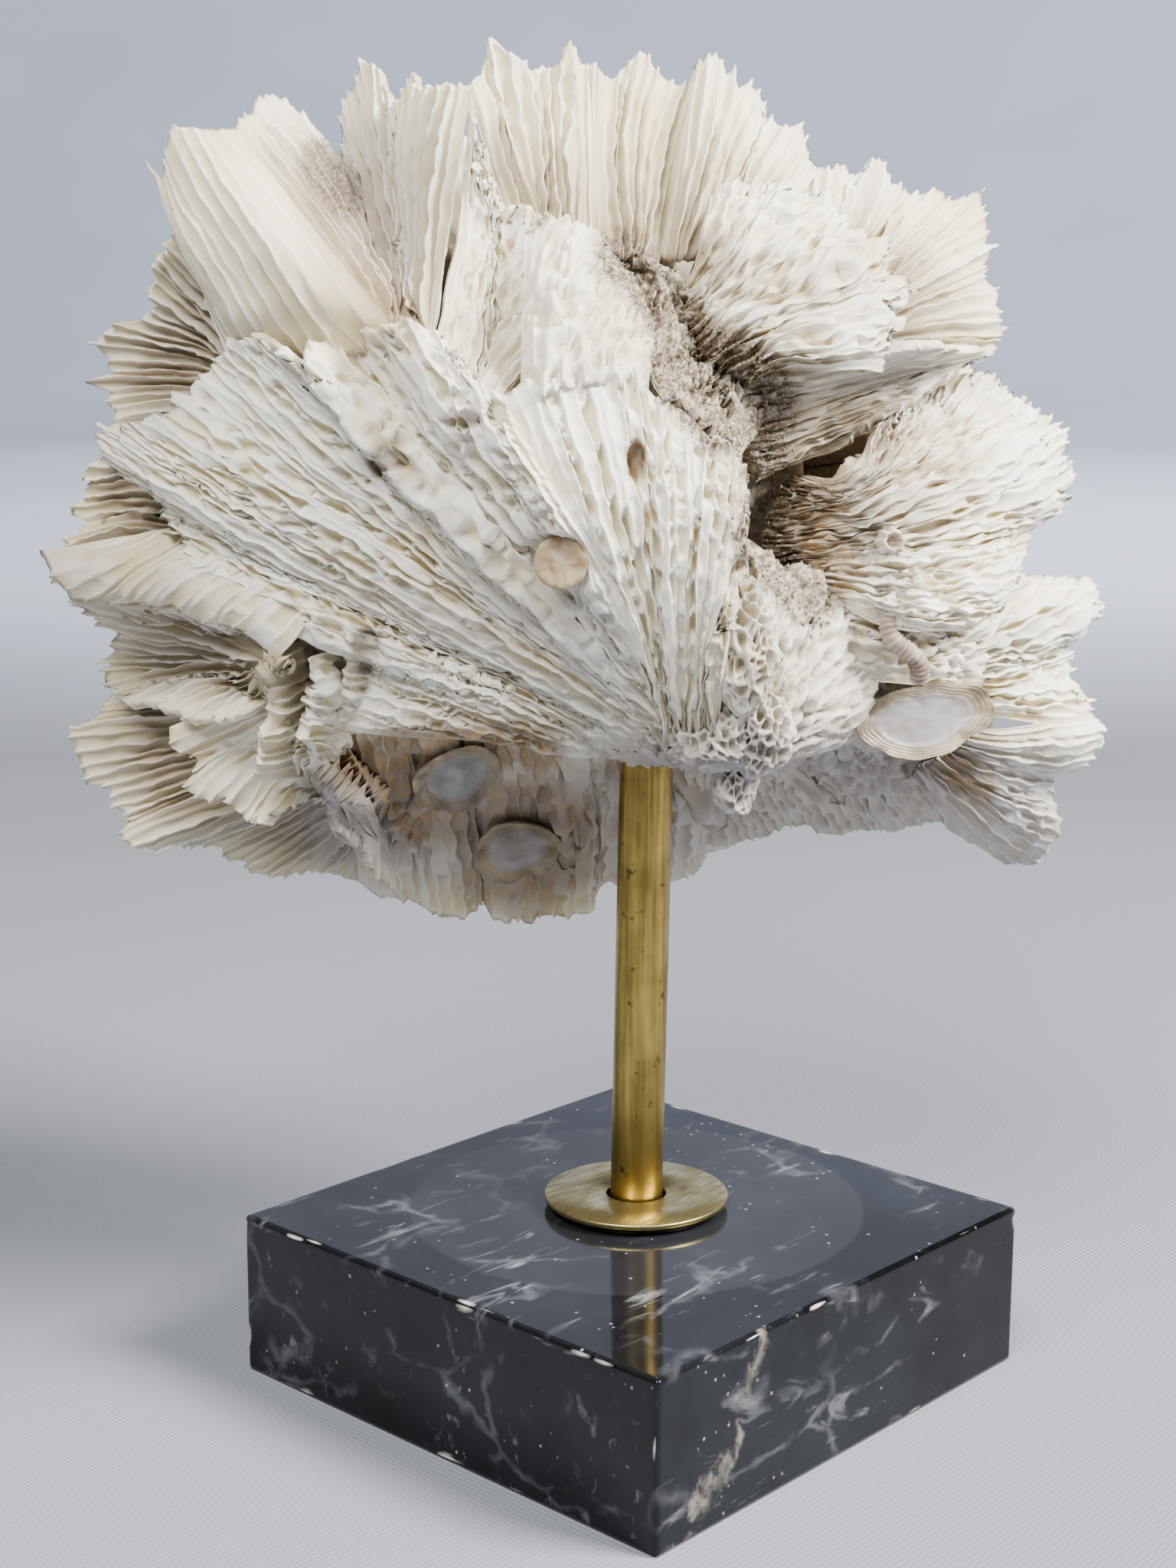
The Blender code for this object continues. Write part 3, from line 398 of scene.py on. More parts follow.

# Where the photographed coral is stained, and where shade is painted on it: the grey kind is painted shade,
# and so are a few brown lines. Each is a line of (x, z) as it looks, a reach in millimetres and how strong it
# is at the line.
STAINS_AND_SHADE = {
    "grit": [
        ([(-4.5, 200.6), (1, 196.3), (3.7, 191), (9.6, 186.6), (15.5, 184), (20, 180), (22.4, 175),
          (21.5, 167.5), (21.5, 160), (20, 153), (24, 147), (30, 141)], 5.5, 1.0),
        ([(6, 182), (10, 176), (14, 172)], 6.5, 1.0),
        ([(18, 140), (21, 128), (22, 116)], 4.5, 0.45),
        ([(38, 152), (43, 146), (44, 138)], 5, 0.5),
        ([(-55, 216), (-51, 210)], 4, 0.8),
    ],
    "brown": [
        ([(-50, 112), (-42, 115), (-30, 116), (-18, 115)], 5.0, 0.9),
        ([(-44, 114), (-43, 108), (-40, 102)], 5.0, 0.9),
        ([(-36, 103), (-28, 104), (-18, 104)], 6.5, 0.7),
        ([(-28, 90), (-20, 88), (-13, 94), (-11, 101)], 5, 0.6),
        ([(30, 166), (42, 171), (50, 164), (42, 158)], 10, 0.46),
        # Partly painted shade: the ochre at the bottom of the valley by the blade, made darker.
        ([(-53, 210), (-49, 197), (-45, 191)], 7, 0.5),
        ([(-46, 166.5), (-42, 164.5)], 3.0, 0.45),
        ([(-31, 173), (-24, 174)], 3.5, 0.3),
        # The next two are painted shade: they make the left lobe and the low left leaves browner and darker.
        ([(-98, 146), (-84, 141)], 7, 0.3),
        ([(-92, 117), (-78, 109)], 8, 0.25),
        ([(24, 192), (36, 198), (52, 192)], 7, 0.26),
        ([(-4, 112), (10, 108)], 4, 0.3),
        ([(-1, 164), (-1, 167.5)], 2.2, 1.0),
        ([(-12, 102.5), (-11.5, 103.5)], 1.6, 1.0),
        ([(17, 171), (17.2, 174)], 1.0, 1.0),
        ([(17.5, 143), (17.5, 147)], 2.6, 0.4),
        ([(-48, 131), (-48, 134.5)], 3.4, 0.4),
        ([(-28, 187), (-24, 180)], 5, 0.25),
        ([(26, 164), (30, 154), (33, 147)], 6.0, 0.75),
        ([(40, 170), (34, 162)], 5, 0.5),
        ([(11, 203), (13, 198)], 5, 0.45),
        ([(56, 112), (60, 109)], 4, 0.8),
        ([(-12, 100), (-11, 104)], 3, 0.7),
    ],
    "grey": [
        # Painted shade: on the underside, under the high right leaves, in the high left funnel and in the
        # valley by the blade; the line at (30, 130) greys the grey patch.
        ([(-50, 104), (-20, 98), (5, 105), (30, 110), (50, 108), (70, 102)], 13, 0.95),
        ([(24, 178), (38, 174), (46, 180)], 8, 0.5),
        ([(30, 130), (38, 124)], 8, 0.4),
        ([(-88, 190), (-84, 180), (-90, 172)], 9, 0.3),
        ([(-48, 216), (-46, 204)], 8, 0.45),
    ],
}
GRITTY_PIECES = ("coral_front_right", "coral_right", "coral_high_right")
DEPTH_OF_MARKS = -34  # mm, no stain or painted shade of the show side reaches further back


# Shapes in numbers

def real(point):
    """A point given as it looks, (x, z, near) in millimetres, as (right, near, up) in millimetres."""
    x, z, near = point
    share = (EYE[1] - near) / EYE[1]
    return np.array([EYE[0] + (x - EYE[0]) * share, near, EYE[2] + (z - EYE[2]) * share])


def seen(points):
    """The way back: (right, near, up) in millimetres as the (x, z) where they look to be."""
    share = (EYE[1] - points[..., 1]) / EYE[1]
    x = EYE[0] + (points[..., 0] - EYE[0]) / share
    z = EYE[2] + (points[..., 2] - EYE[2]) / share
    return np.stack([x, z], -1)


def in_part(points):
    """(right, near, up) in millimetres from the stem's axis, as metres in the part's own frame."""
    right, near, up = np.moveaxis(np.asarray(points, float), -1, 0)
    cos, sin = math.cos(SHOW_SIDE), math.sin(SHOW_SIDE)
    return np.stack([STEM_X + right * cos + near * sin, STEM_Y + right * sin - near * cos, up], -1) * MM


def along(points, shares):
    """Points at these shares of the length of a smooth curve through the given points."""
    points = np.asarray(points, float)
    steps = np.linalg.norm(np.diff(points, axis=0), axis=1)
    knots = np.concatenate([[0], np.cumsum(steps)]) / steps.sum()
    if len(points) == 2:
        slopes = np.repeat([points[1] - points[0]], 2, axis=0)
    else:
        slopes = np.gradient(points, knots, axis=0)
    span = np.clip(np.searchsorted(knots, shares, side="right") - 1, 0, len(points) - 2)
    width = (knots[span + 1] - knots[span])[..., None]
    t = (shares[..., None] - knots[span][..., None]) / width
    return (
        (2 * t**3 - 3 * t**2 + 1) * points[span]
        + (t**3 - 2 * t**2 + t) * width * slopes[span]
        + (-2 * t**3 + 3 * t**2) * points[span + 1]
        + (t**3 - t**2) * width * slopes[span + 1]
    )


def fan_surface(leaf, shares, heights):
    """Points of a fan at shares along its rim and heights from root to rim, two arrays of one shape."""
    root = along([real(p) for p in leaf["root"]], shares)
    rim = along([real(p) for p in leaf["rim"]], shares)
    h = heights[..., None]
    right, up, near = leaf["bulge"]
    bow = 4 * h * (1 - h)
    if leaf["joined"]:
        bow = bow * smooth(0, 0.2, np.minimum(shares, 1 - shares))[..., None]
    surface = root * (1 - h) + rim * h + bow * np.array([right, near, up])
    depth, waves, start = leaf["ruffle"]
    wave = depth * np.sin(2 * math.pi * (waves * shares + start))[..., None] * h.clip(0, 2) ** 1.5
    return surface + wave * np.array([0, 1, 0])


NOISE_CELLS = 32
NOISE_TABLE = np.random.default_rng(11).uniform(-1, 1, (NOISE_CELLS,) * 3)


def noise(points, size, seed=0):
    """Smooth noise from -1 to 1 at points of three numbers, with lumps about size apart."""
    places = points / size + 7.31 * seed
    cell = np.floor(places).astype(int)
    t = places - cell
    t = t * t * (3 - 2 * t)
    total = np.zeros(points.shape[:-1])
    for corner in itertools.product((0, 1), repeat=3):
        weight = np.prod(np.where(corner, t, 1 - t), axis=-1)
        a, b, c = np.moveaxis((cell + corner) % NOISE_CELLS, -1, 0)
        total += weight * NOISE_TABLE[a, b, c]
    return total


def rough(points, size, seed=0):
    """Noise with finer noise on it."""
    return noise(points, size, seed) + 0.5 * noise(points, size / 2.1, seed + 1) + 0.25 * noise(
        points, size / 4.3, seed + 2)


def smooth(low, high, value):
    """0 where the value is at low or past it, 1 at high, and an even curve between them."""
    t = np.clip((value - low) / (high - low), 0, 1)
    return t * t * (3 - 2 * t)


def normals_of(surface):
    """Unit normals of a grid of points, whose first two axes are its columns and rows."""
    across = np.gradient(surface, axis=0)
    up = np.gradient(surface, axis=1)
    normal = np.cross(across, up)
    return normal / np.maximum(np.linalg.norm(normal, axis=-1, keepdims=True), 1e-9)


def rib_columns(count, chance):
    """For each column of a grid: its rib's place counted in ribs, which of a rib's columns it is, and its
    rib's number."""
    k = np.arange(count * COLUMNS + 1)
    rib = (k + COLUMNS // 2) // COLUMNS
    shift = chance.uniform(-RIB_LOOSE, RIB_LOOSE, count + 1)
    shift[0] = shift[-1] = 0
    centres = np.arange(count + 1) + shift
    step = k % COLUMNS
    place = centres[np.minimum(rib, count)]
    middle = (centres[np.minimum(k // COLUMNS, count)] + centres[np.minimum(k // COLUMNS + 1, count)]) / 2
    return np.where(step == COLUMNS // 2, middle, place), step, np.minimum(rib, count)


def columns_gap(columns):
    """The width of the groove that each column lies in, counted in ribs."""
    crests = columns[0][::COLUMNS]
    groove = np.minimum(np.arange(len(columns[0])) // COLUMNS, len(crests) - 2)
    return np.diff(crests)[groove][:, None]


def with_flanks(columns, pitch, width=1.0):
    """Each grid point's place counted in ribs, with a rib's flanks as far from its crest as a rib is wide.
    pitch is the millimetres from rib to rib at each point, and width each groove's share of it."""
    place, step, _ = columns
    flank = np.minimum(RIB_HALF[step][:, None] / pitch, RIB_MOST[step][:, None] * np.clip(width, 0.2, 1))
    return place[:, None] + RIB_SIDE[step][:, None] * flank


def pitch_of(surface, places):
    """Millimetres from rib to rib at each point of a grid, at least a tenth of a millimetre."""
    reach = np.linalg.norm(surface[COLUMNS:] - surface[:-COLUMNS], axis=-1)
    reach = reach / np.maximum(places[COLUMNS:] - places[:-COLUMNS], 0.2)[:, None]
    wide = np.concatenate([reach[:1].repeat(COLUMNS // 2, 0), reach, reach[-1:].repeat(COLUMNS // 2, 0)])
    return np.maximum(wide, 0.1)


def braid(count, rows_mm, look, chance):
    """How far each rib strays sideways at each row, as a share of the spacing. Neighbours lean opposite
    ways, so that they meet and part and leave lens-shaped cells between them. The turn goes with it."""
    rib = np.arange(count + 1)[:, None]
    spots = np.stack([rib / 5 + 0 * rows_mm, rows_mm / 9 + 0 * rib, 0 * rib + 0 * rows_mm], -1)
    turn = 2 * math.pi * rows_mm / look["lens"] + math.pi * rib + 4 * noise(spots, 1.0, 2)
    turn = turn + chance.uniform(-0.8, 0.8, (count + 1, 1))
    return look["sway"] * np.sin(turn), turn


def cells(columns, strays, turns, rows_mm, gap, chance):
    """Cross walls in the grooves: how near each point is to one, 0 to 1, and how deep its cell is."""
    place = columns[0]
    groove = np.minimum(np.arange(len(place)) // COLUMNS, len(strays) - 2)
    width = 1 + strays[groove + 1] - strays[groove]
    near_wall = smooth(0.62, 0.48, width)
    cell = np.floor((turns[groove] + turns[groove + 1]) / 4 / math.pi).astype(int)
    kind = chance.uniform(size=(len(strays), 64))[groove[:, None], cell % 64]
    across = (np.arange(len(place)) % COLUMNS / COLUMNS)[:, None]
    thick = 0.9 * (rows_mm[0, 1] - rows_mm[0, 0])
    walls = np.cumsum(chance.uniform(0.4, 1.9, (len(strays), 50)) * gap, axis=1)[groove] - 8
    level = rows_mm + (chance.uniform(-2, 2, len(strays))[groove, None] * across)
    for k in range(walls.shape[1]):
        off = np.abs(level - walls[:, k:k + 1])
        near_wall = np.maximum(near_wall, np.clip(1.3 - off / thick, 0, 1))
    return near_wall, np.where(kind < 0.24, 0.12 + kind, np.where(kind < 0.6, 0.25 + kind, 1.1))


def pores(points, size, seed):
    """How near each point is to the wall of a pore, 0 to 1. The pores are about size apart."""
    bend = [noise(points, 2.5 * size, k) for k in (3, 5, 7)]
    places = points / size + 3.7 * seed + 0.7 * np.stack(bend, -1)
    cell = np.floor(places).astype(int)
    first = np.full(points.shape[:-1], 9.0)
    second = first.copy()
    for corner in itertools.product((-1, 0, 1), repeat=3):
        a, b, c = np.moveaxis((cell + corner) % NOISE_CELLS, -1, 0)
        middle = cell + corner + 0.5 + 0.5 * np.stack([
            NOISE_TABLE[a, b, c], NOISE_TABLE[b, c, a], NOISE_TABLE[c, a, b]], -1)
        gap = np.linalg.norm(places - middle, axis=-1)
        second = np.minimum(second, np.maximum(first, gap))
        first = np.minimum(first, gap)
    return smooth(0.34, 0.06, second - first)


def relief(look, surface, pitch, columns, rows_mm, strays, turns, chance):
    """How far a leaf's face stands out from its wall, in millimetres, and how deep in a groove it is."""
    if look["pores"]:
        walls = pores(surface, look["pores"], 1)
        crumbs = 0.5 * rough(surface, 1.0, 6)
        uneven = 0.75 + 0.4 * noise(surface, 5.0, 4)
        hollow = np.clip(1 - walls * uneven - 0.4 * crumbs, 0, 1)
        return look["relief"] * walls * uneven + 0.5 * crumbs, hollow
    _, step, rib = columns
    cycle = np.where(rib % 4 == 0, 0, np.where(rib % 2 == 0, 1, 2))
    apart = pitch * np.array([4, 2, 1])[cycle][:, None]
    there = smooth(0.4, 0.75, apart / look["ribs"])
    there = np.where(cycle[:, None] == 0, np.maximum(there, 0.6), there)
    spot = np.stack([rib[:, None] * 1.7 + 0 * rows_mm, rows_mm / 2.2, 0 * rows_mm], -1)
    uneven = 1 + 0.22 * noise(spot, 1.0, 3) + 0.14 * noise(spot * np.array([1, 3, 1]), 1.0, 5)
    peak = RIB_SHAPE[step][:, None] * there * CYCLES[cycle][:, None] * uneven
    depth = look["relief"] * np.clip(pitch * 4 / look["ribs"], 0.35, 1)
    floor = np.ones(rows_mm.shape)
    if look["cross"]:
        walls, floor = cells(columns, strays, turns, rows_mm, WALL_GAP / look["cross"], chance)
        peak = np.maximum(peak, walls * 0.85 * np.minimum(1, there + 0.5))
    return depth * (1.1 - floor * (1 - peak)), floor * (1 - np.clip(peak, 0, 1))


def from_sides(place, ribs):
    """0 at a leaf's two sides, and 1 from three ribs in."""
    return np.minimum(1, np.minimum(place, ribs - place) / 3)[:, None]


def rim_edge(look, columns, height, seed, chance):
    """How far a leaf's rim runs out or stops short at each column, as a share of the leaf's height."""
    place, step, rib = columns
    spot = np.stack([place / 2.2, 0 * place, 0 * place + seed], -1)
    uneven = 1.1 * rough(spot, 1.0, 5) + 0.5 * noise(spot * 3, 1.0, 2) - 0.5
    reach = chance.uniform(size=rib[-1] + 1)[rib] ** 2 * TOOTH
    tooth = look["tooth"] * reach * (RIB_SHAPE[step] - 0.35)
    return (look["notch"] * uneven + tooth) / height


def folded(surface, unevenness, h, seed):
    """A leaf's middle surface with its folds, dents and swells."""
    fold = 0.8 * rough(surface, 14.0, seed % 5) * unevenness * smooth(0, 0.3, h)
    fold = fold + 0.5 * unevenness * noise(surface, 5.5, 6) + 0.12 * noise(surface, 1.7, 3)
    surface = surface + normals_of(surface) * fold[..., None]
    surface[..., 1] += swell(seen(surface)) * smooth(0.02, 0.2, h)
    return surface


def leaf_surface(name, look, columns, h, height, seed, chance):
    """The middle surface of a leaf as a grid of columns and rows, the millimetres from rib to rib at each
    of its points, and how its ribs stray and turn. h is each row's height from root to rim."""
    leaf = dict(FANS[name], joined=name in JOINED_SIDES)
    place, step, rib = columns
    ribs = rib[-1]
    sides = from_sides(place, ribs)
    strays, turns = braid(ribs, h[:1] * height, look, chance)
    groove = np.minimum(np.arange(len(place)) // COLUMNS, ribs - 1)
    own = np.where((step == COLUMNS // 2)[:, None], (strays[groove] + strays[groove + 1]) / 2, strays[rib])
    width = 1 + (strays[groove + 1] - strays[groove]) * sides + (columns_gap(columns) - 1)

    def spread(places):
        spot = np.stack([place[:, None] / 9 + 0 * h, h * 2, 0 * h + seed], -1)
        wander = 0.7 * noise(spot, 1.0) + 0.12 * noise(spot * np.array([5, 5, 1]), 1.0, 2)
        return np.clip((places + (wander + own) * sides * (1 - h * 0.4)) / ribs, 0, 1)

    # The rim is cut ragged, and once more with the spacing that its ribs then have.
    ragged = h
    for _ in range(2):
        surface = fan_surface(leaf, spread(place[:, None] + 0 * h), ragged)
        pitch = pitch_of(surface, place)
        edge = rim_edge(look, columns, height, seed, chance) * sides[:, 0]
        ragged = h + edge[:, None] * h.clip(0, 1) ** 5
    surface = fan_surface(leaf, spread(with_flanks(columns, pitch, width)), ragged)
    return folded(surface, look["rough"], h, seed), pitch, strays, turns


def leaf_rings(name, seed):
    """A leaf as rings of points about its wall, one ring for each column: up its near side and down its far
    side. With them come how far down in a groove and how deep in the leaf each point lies, which the finish
    paints as a warmer tone and as shade."""
    near_style, far_style = LEAF_STYLES[name]
    chance = np.random.default_rng(seed)
    rim = np.array([real(p) for p in FANS[name]["rim"]])
    root = np.array([real(p) for p in FANS[name]["root"]])
    height = np.linalg.norm(rim.mean(0) - root.mean(0))
    rim_length = np.linalg.norm(np.diff(rim, axis=0), axis=1).sum()
    ribs = max(4, round(rim_length / near_style["ribs"]))
    columns = rib_columns(ribs, chance)
    row = FINE_ROW if name in FINE_LEAVES else ROW
    rows = max(10, round(height / row))
    h = np.tile(np.linspace(-ROOT_PAST, 1, rows + 1), (len(columns[0]), 1))
    surface, pitch, strays, turns = leaf_surface(name, near_style, columns, h, height, seed, chance)
    normal = normals_of(surface)
    if np.median(normal[..., 1]) < 0:
        normal = -normal

    sides = from_sides(columns[0], ribs)
    thickness = ROOT_WALL * (1 - h).clip(0, 1) ** 1.3 + RIM_WALL * h
    half = FANS[name]["wall"] * thickness / 2 * (0.2 + 0.8 * sides)
    from_plate = np.linalg.norm(seen(surface) - np.array(PLATE_SPOT[:2]), axis=-1)
    calm = smooth(PLATE_CALM[0], PLATE_CALM[1], from_plate)
    thin = (1 - 0.6 * smooth(0.7, 1, h)) * (0.15 + 0.85 * calm)
    (near_relief, near_hollow), (far_relief, far_hollow) = (
        relief(look, surface, pitch, columns, h * height, strays, turns, chance)
        for look in (near_style, far_style)
    )
    near_side = surface + normal * (half + near_relief * sides * thin)[..., None]
    near_side[..., 1] += pit(seen(near_side))
    # Nothing of the coral stands before the plate, nor far before it close round it.
    most = PLATE_SPOT[2] + 0.5 + 12 * smooth(4.6, 9, from_plate)
    near_side[..., 1] = np.minimum(near_side[..., 1], most)
    far_side = surface - normal * (half + far_relief * sides * thin)[..., None]
    # The far side is hardly seen, and so has fewer rows.
    every = max(1, round((2 * ROW if far_style is SEPTA else BACK_ROW) / row))
    kept = np.arange(rows - 1, 0, -every)
    rings = np.concatenate([near_side, far_side[:, kept]], 1)
    hollow = np.concatenate([near_hollow, far_hollow[:, kept]], 1)
    # Painted shade: each leaf is darker towards its root, most of all the leaves that are seen into, and more
    # so in its grooves.
    if name in SHADED_LEAVES:
        shade = smooth(1.1, 0.5, h)
    else:
        shade = smooth(0.8, 0, h) * (1 if near_style is SEPTA else 0.3)
    deep = np.concatenate([shade, shade[:, kept]], 1) * (0.5 + 0.5 * hollow)
    return rings, hollow, deep


def line_gap(places, line):
    """How far each (x, z) is from a line of points."""
    line = np.array(line, float)
    nearest = np.full(places.shape[:-1], 1e9)
    for start, end in zip(line[:-1], line[1:]):
        way = end - start
        t = np.clip(((places - start) @ way) / (way @ way), 0, 1)
        nearest = np.minimum(nearest, np.linalg.norm(places - start - t[..., None] * way, axis=-1))
    return nearest


def swell(places):
    """How far folds push each (x, z) towards the viewer, in millimetres."""
    total = np.zeros(places.shape[:-1])
    for line, reach, height in SWELLS:
        total += height * np.exp(-((line_gap(places, line) / reach) ** 2))
    return total


def pit(places):
    """How far holes and hollows set each (x, z) back, in millimetres, as a number below 0."""
    total = np.zeros(places.shape[:-1])
    for spot, radii, depth in PITS:
        gap = np.linalg.norm((places - np.array(spot)) / np.array(radii), axis=-1)
        total -= depth * smooth(1.15, 0.8, gap)
    return total


def valley_surface(k, seeds, valleys, seed, rays):
    """A grid of points from the middle of one stretch of valley out along each ray to where it ends."""
    # Where each ray leaves this seed's own ground, or comes round to the show side
    steps = np.linspace(0, BACK_REACH_LIMIT, 90)
    facing = seed + steps[None, :, None] / BACK_SIZE * rays[:, None, :]
    facing /= np.linalg.norm(facing, axis=-1, keepdims=True)
    flat = facing.reshape(-1, 3)
    owner = seed_distances(seeds, flat).argmin(0).reshape(facing.shape[:2])
    outside = (owner != k) | (facing[..., 1] > 0.3)
    outside[:, 0] = False
    outside[:, -1] = True
    last = steps[outside.argmax(1)]
    # Rows at even distances along the floor and up the wall
    share = back_share(seeds, valleys, flat).reshape(facing.shape[:2])
    rise = centre_of_back() + facing * share[..., None] * BACK_HALVES
    legs = np.linalg.norm(np.diff(rise, axis=1), axis=-1)
    run = np.concatenate([np.zeros((len(rays), 1)), np.cumsum(legs, axis=1)], 1)
    surface = np.empty((len(rays), BACK_ROWS + 1, 3))
    for i in range(len(rays)):
        length = np.interp(last[i], steps, run[i])
        t = np.interp(np.linspace(0.5 / BACK_ROWS, 1, BACK_ROWS + 1) * length, run[i], steps)
        for axis in range(3):
            surface[i, :, axis] = np.interp(t, steps, rise[i, :, axis])
    surface[-1] = surface[0]
    return surface


def valley_patch(k, seeds, valleys, chance):
    """One seed's stretch of a valley of the back, with its septa, as rings that run from its middle out to
    the crest and back underneath."""
    seed = seeds[k] - BACK_WANDER * wander_of(seeds[k])
    seed /= np.linalg.norm(seed)
    side = np.cross(seed, [0, 0, 1.0])
    side /= np.linalg.norm(side)
    over = np.cross(side, seed)
    columns = rib_columns(BACK_RIBS, chance)
    place, step, rib = columns
    angle = with_flanks(columns, np.full((len(place), 1), BACK_PITCH))[:, 0] / BACK_RIBS * 2 * math.pi
    rays = np.cos(angle)[:, None] * side + np.sin(angle)[:, None] * over
    surface = valley_surface(k, seeds, valleys, seed, rays)
    h = np.tile(np.linspace(0, 1, BACK_ROWS + 1), (len(place), 1))
    outward = surface - centre_of_back()
    outward /= np.linalg.norm(outward, axis=-1, keepdims=True)
    normal = normals_of(surface)
    normal[0] = normal[-1] = (normal[0] + normal[-1]) / 2
    normal = normal * np.where((normal * outward).sum(-1) < 0, -1, 1)[..., None]
    look = dict(SEPTA, ribs=3.0, relief=BACK_SEPTUM)
    strays, turns = braid(BACK_RIBS, h[:1] * BACK_DEPTH, look, chance)
    height, hollow = relief(
        look, surface, pitch_of(surface, place), columns, h * BACK_DEPTH, strays, turns, chance)
    height[-1], hollow[-1] = height[0], hollow[0]
    surface = surface + normal * (height * smooth(0, 0.15, h))[..., None]
    teeth = RIB_SHAPE[step] * (0.3 + chance.uniform(size=BACK_RIBS)[rib % BACK_RIBS]) * TOOTH
    surface = surface + outward * (teeth[:, None] * h**6)[..., None]
    inner = centre_of_back() + (surface[:, -1:] - centre_of_back()) * np.array([0.93, 0.6])[None, :, None]
    under = np.ones((len(place), 2))
    rings = np.concatenate([surface, inner], 1)
    hollow = np.concatenate([hollow, under], 1)
    # Painted shade: darker towards the valley's middle, and in full shade underneath.
    deep = np.concatenate([smooth(0.9, 0.1, h), under], 1)
    return rings[:-1], hollow[:-1], deep[:-1]


def wander_of(directions):
    """How the back's walls wander: a shift for each direction."""
    right, near, up = np.moveaxis(directions, -1, 0)
    return np.stack([
        np.sin(9 * up + 5 * near + 0.5), np.sin(8 * right - 7 * up), np.sin(10 * right + 6 * near + 2)], -1)


def centre_of_back():
    """The middle that the back's valleys are laid out about, as (right, near, up)."""
    return real(BACK_CENTRE)


def back_seeds():
    """Directions (right, near, up) of the valley seeds, and the number of the valley that each belongs to."""
    chance = np.random.default_rng(BACK_SEED)
    seeds, valleys, last_ring = [], [], []
    for angle, count in BACK_RINGS:
        ring = []
        start = chance.uniform(0, 2 * math.pi)
        for k in range(count):
            away = math.radians(angle + chance.uniform(-4, 4))
            turn = start + 2 * math.pi * (k + chance.uniform(-0.2, 0.2)) / count
            out = math.sin(away)
            seed = np.array([out * math.cos(turn), -math.cos(away), out * math.sin(turn)])
            valley = len(seeds)
            if last_ring and chance.uniform() < JOINED_VALLEYS:
                valley = valleys[min(last_ring, key=lambda other: np.linalg.norm(seeds[other] - seed))]
            ring.append(len(seeds))
            seeds.append(seed)
            valleys.append(valley)
        last_ring = ring
    return np.array(seeds), np.array(valleys)


def seed_distances(seeds, directions):
    """How far each direction is from each valley seed, in millimetres, shorter along a valley."""
    looked = directions + BACK_WANDER * wander_of(directions)
    distances = []
    for seed in seeds:
        outward = np.array([0, 1, 0]) - seed[1] * seed
        outward /= np.linalg.norm(outward)
        gap = (looked - seed) * BACK_SIZE
        along_valley = gap @ outward
        across = gap - along_valley[:, None] * outward
        distances.append(np.sqrt((VALLEY_STRETCH * along_valley) ** 2 + (across**2).sum(-1)))
    return np.array(distances)


def back_share(seeds, valleys, directions):
    """How far out the back's surface lies in each direction, as a share of its reach."""
    right, near, up = directions.T
    distances = seed_distances(seeds, directions)
    nearest = np.array([distances[valleys == valley].min(0) for valley in np.unique(valleys)])
    nearest.partition(1, axis=0)
    from_wall = (nearest[1] - nearest[0]) / 2
    wall = np.exp(-np.maximum(0, from_wall - WALL_HALF) / WALL_FOOT)
    crest = 0.95 + 0.05 * np.sin(23 * right + 17 * up + 9 * near)
    share = BACK_FLOOR + (crest - BACK_FLOOR) * wall
    front = np.clip((near - 0.15) / 0.35, 0, 1)
    return share * (1 - front) + 0.6 * front


def stain_and_shade(kind, points):
    """How strongly each point is marked by one kind, 0 to 1: a stain, or painted shade for the grey kind and
    a few brown lines.
    """
    places = seen(points)
    total = np.zeros(len(points))
    for line, reach, strength in STAINS_AND_SHADE[kind]:
        total = np.maximum(total, strength * smooth(reach * 1.25, reach * 0.5, line_gap(places, line)))
    return total * (points[:, 1] > DEPTH_OF_MARKS)


# Meshes and objects

def marked(mesh, marks):
    """Gives a mesh a number at each point, for each name in marks."""
    for name, values in marks.items():
        mark = mesh.attributes.new(name, "FLOAT", "POINT")
        mark.data.foreach_set("value", values.ravel().astype(np.float32))


def closed_up(mesh, swell_out=None):
    """Merges points that coincide and turns all faces outwards. swell_out gives how far each point then
    moves out along its normal, in millimetres, for its place in millimetres."""
    cage = bmesh.new()
    cage.from_mesh(mesh)
    bmesh.ops.remove_doubles(cage, verts=cage.verts, dist=1e-6)
    if swell_out:
        for corner in cage.verts:
            corner.co += corner.normal * float(swell_out(np.array(corner.co) / MM)) * MM
    bmesh.ops.recalc_face_normals(cage, faces=cage.faces)
    cage.to_mesh(mesh)
    cage.free()


def mesh_from(name, places, faces, marks):
    """A mesh of places in metres and faces. marks are numbers for each place, by name."""
    mesh = bpy.data.meshes.new(name)
    mesh.from_pydata(places.tolist(), [], faces)
    marked(mesh, marks)
    return mesh


def ring_faces(rings, around, closed):
    """Faces between rings of points. closed joins the last ring to the first."""
    i = np.arange(rings if closed else rings - 1)[:, None] * around
    following = (i + around) % (rings * around)
    r = np.arange(around)
    beside = (r + 1) % around
    return np.stack([i + r, following + r, following + beside, i + beside], -1).reshape(-1, 4)


def inside_out(points, faces):
    """Whether a closed shape's faces look inwards once it stands in the part's own frame."""
    places = in_part(points - points.mean(0))
    first, *others = (places[faces[:, k]] for k in range(faces.shape[1]))
    return sum((np.cross(first, b) * c).sum() for b, c in itertools.pairwise(others)) < 0


def finished(name, mesh, finish, slot, *nodes):
    """A visible piece: its object, its finish, what carries it, which is not used, and the CAD nodes that it
    stands for.
    """
    piece = bpy.data.objects.new(name, mesh)
    bpy.context.scene.collection.objects.link(piece)
    mesh.materials.clear()
    mesh.materials.append(finish)
    mesh.polygons.foreach_set("use_smooth", [True] * len(mesh.polygons))
    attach(piece, "root")
    if nodes:
        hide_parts(*nodes)
    return piece


